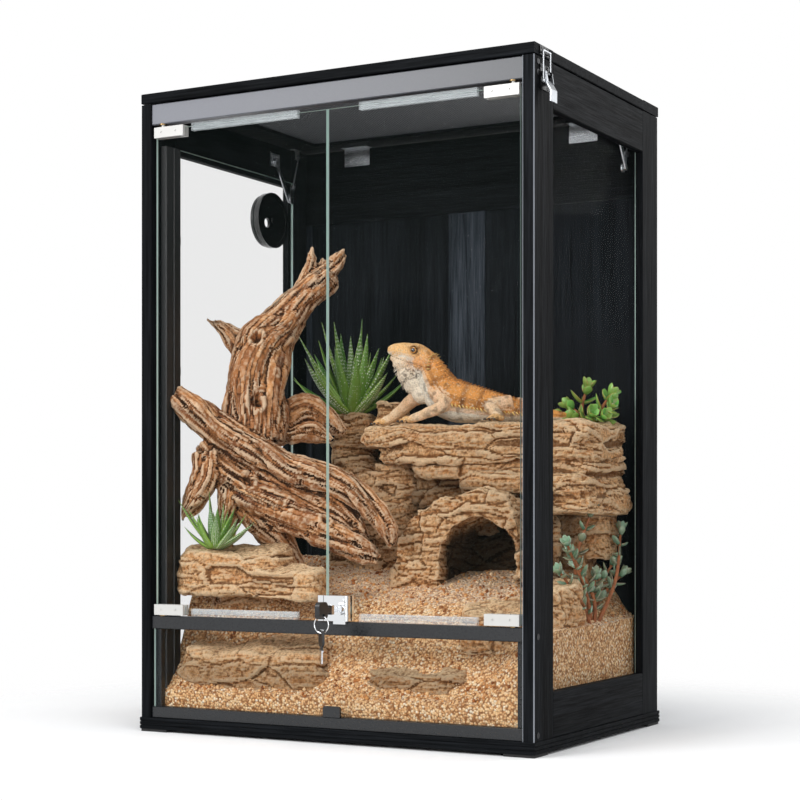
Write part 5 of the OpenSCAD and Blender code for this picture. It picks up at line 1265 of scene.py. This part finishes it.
# ---- studio
def floor_material():
    """A pale floor that keeps shadows near the part and fades into the white backdrop."""
    mat = bpy.data.materials.new("studio_floor")
    n = Nodes(mat)
    away = n.node("VectorMath", {0: n.node("TexCoord", out="Object")}, out="Value", operation="LENGTH")
    fade = n.node("MapRange", {0: away, 1: 0.42, 2: 1.0}, interpolation_type="SMOOTHSTEP")
    pale, clear = n.node("BsdfDiffuse", {0: (0.93, 0.93, 0.93)}), n.node("BsdfTransparent")
    n.node("OutputMaterial", {0: n.node("MixShader", {0: fade, 1: pale, 2: clear})}, out=None)
    return mat


def backdrop():
    """A world that is seen and mirrored white and lights the scene more softly."""
    world = bpy.data.worlds.new("studio")
    bpy.context.scene.world = world
    n = Nodes(world)
    camera, glossy, through = (n.node("LightPath", out="Is %s Ray" % k) for k in ("Camera", "Glossy", "Transmission"))
    direct = n.math("MAXIMUM", n.math("MAXIMUM", camera, glossy), through)
    lit, seen = n.node("Background", {0: (0.93, 0.96, 1.0), 1: 0.36}), n.node("Background", {0: (1, 1, 1), 1: 1.0})
    n.node("OutputWorld", {0: n.node("MixShader", {0: direct, 1: lit, 2: seen})}, out=None)


def studio():
    half = 1.6
    obj = make("floor", [(-half, -half, 0), (half, -half, 0), (half, half, 0), (-half, half, 0)], [(0, 1, 2, 3)],
               floor_material(), smooth=False)
    backdrop()
    for name, at, aim, size, power in (
            ("key", (-1.0, -2.6, 1.5), (0, 0, 0.4), 1.2, 56),
            ("fill", (1.9, -2.4, 0.9), (0, 0, 0.4), 1.6, 32),
            ("top", (0.1, -0.3, 2.5), (0, 0, 0.4), 1.3, 34),
            ("rim", (1.6, 1.9, 1.7), (0, 0, 0.5), 1.2, 16)):
        light = bpy.data.lights.new(name, "AREA")
        light.shape, light.size, light.energy = "SQUARE", size, power
        obj = bpy.data.objects.new(name, light)
        obj.location = at
        obj.rotation_euler = (Vector(aim) - Vector(at)).to_track_quat("-Z", "Y").to_euler()
        bpy.context.scene.collection.objects.link(obj)

    # the place, lens and turn that were fitted to the cabinet's edges in the photo
    camera = bpy.data.cameras.new("camera")
    camera.sensor_width, camera.lens, camera.shift_y = 36, 82.4225, 0.14216
    obj = bpy.data.objects.new("camera", camera)
    obj.location = (1.28667339, -2.3477326, 0.312206172)
    obj.rotation_euler = (np.radians(90), 0, 0.503477615)
    bpy.context.scene.collection.objects.link(obj)
    bpy.context.scene.camera = obj
    bpy.context.scene.view_settings.view_transform = "Standard"


studio()
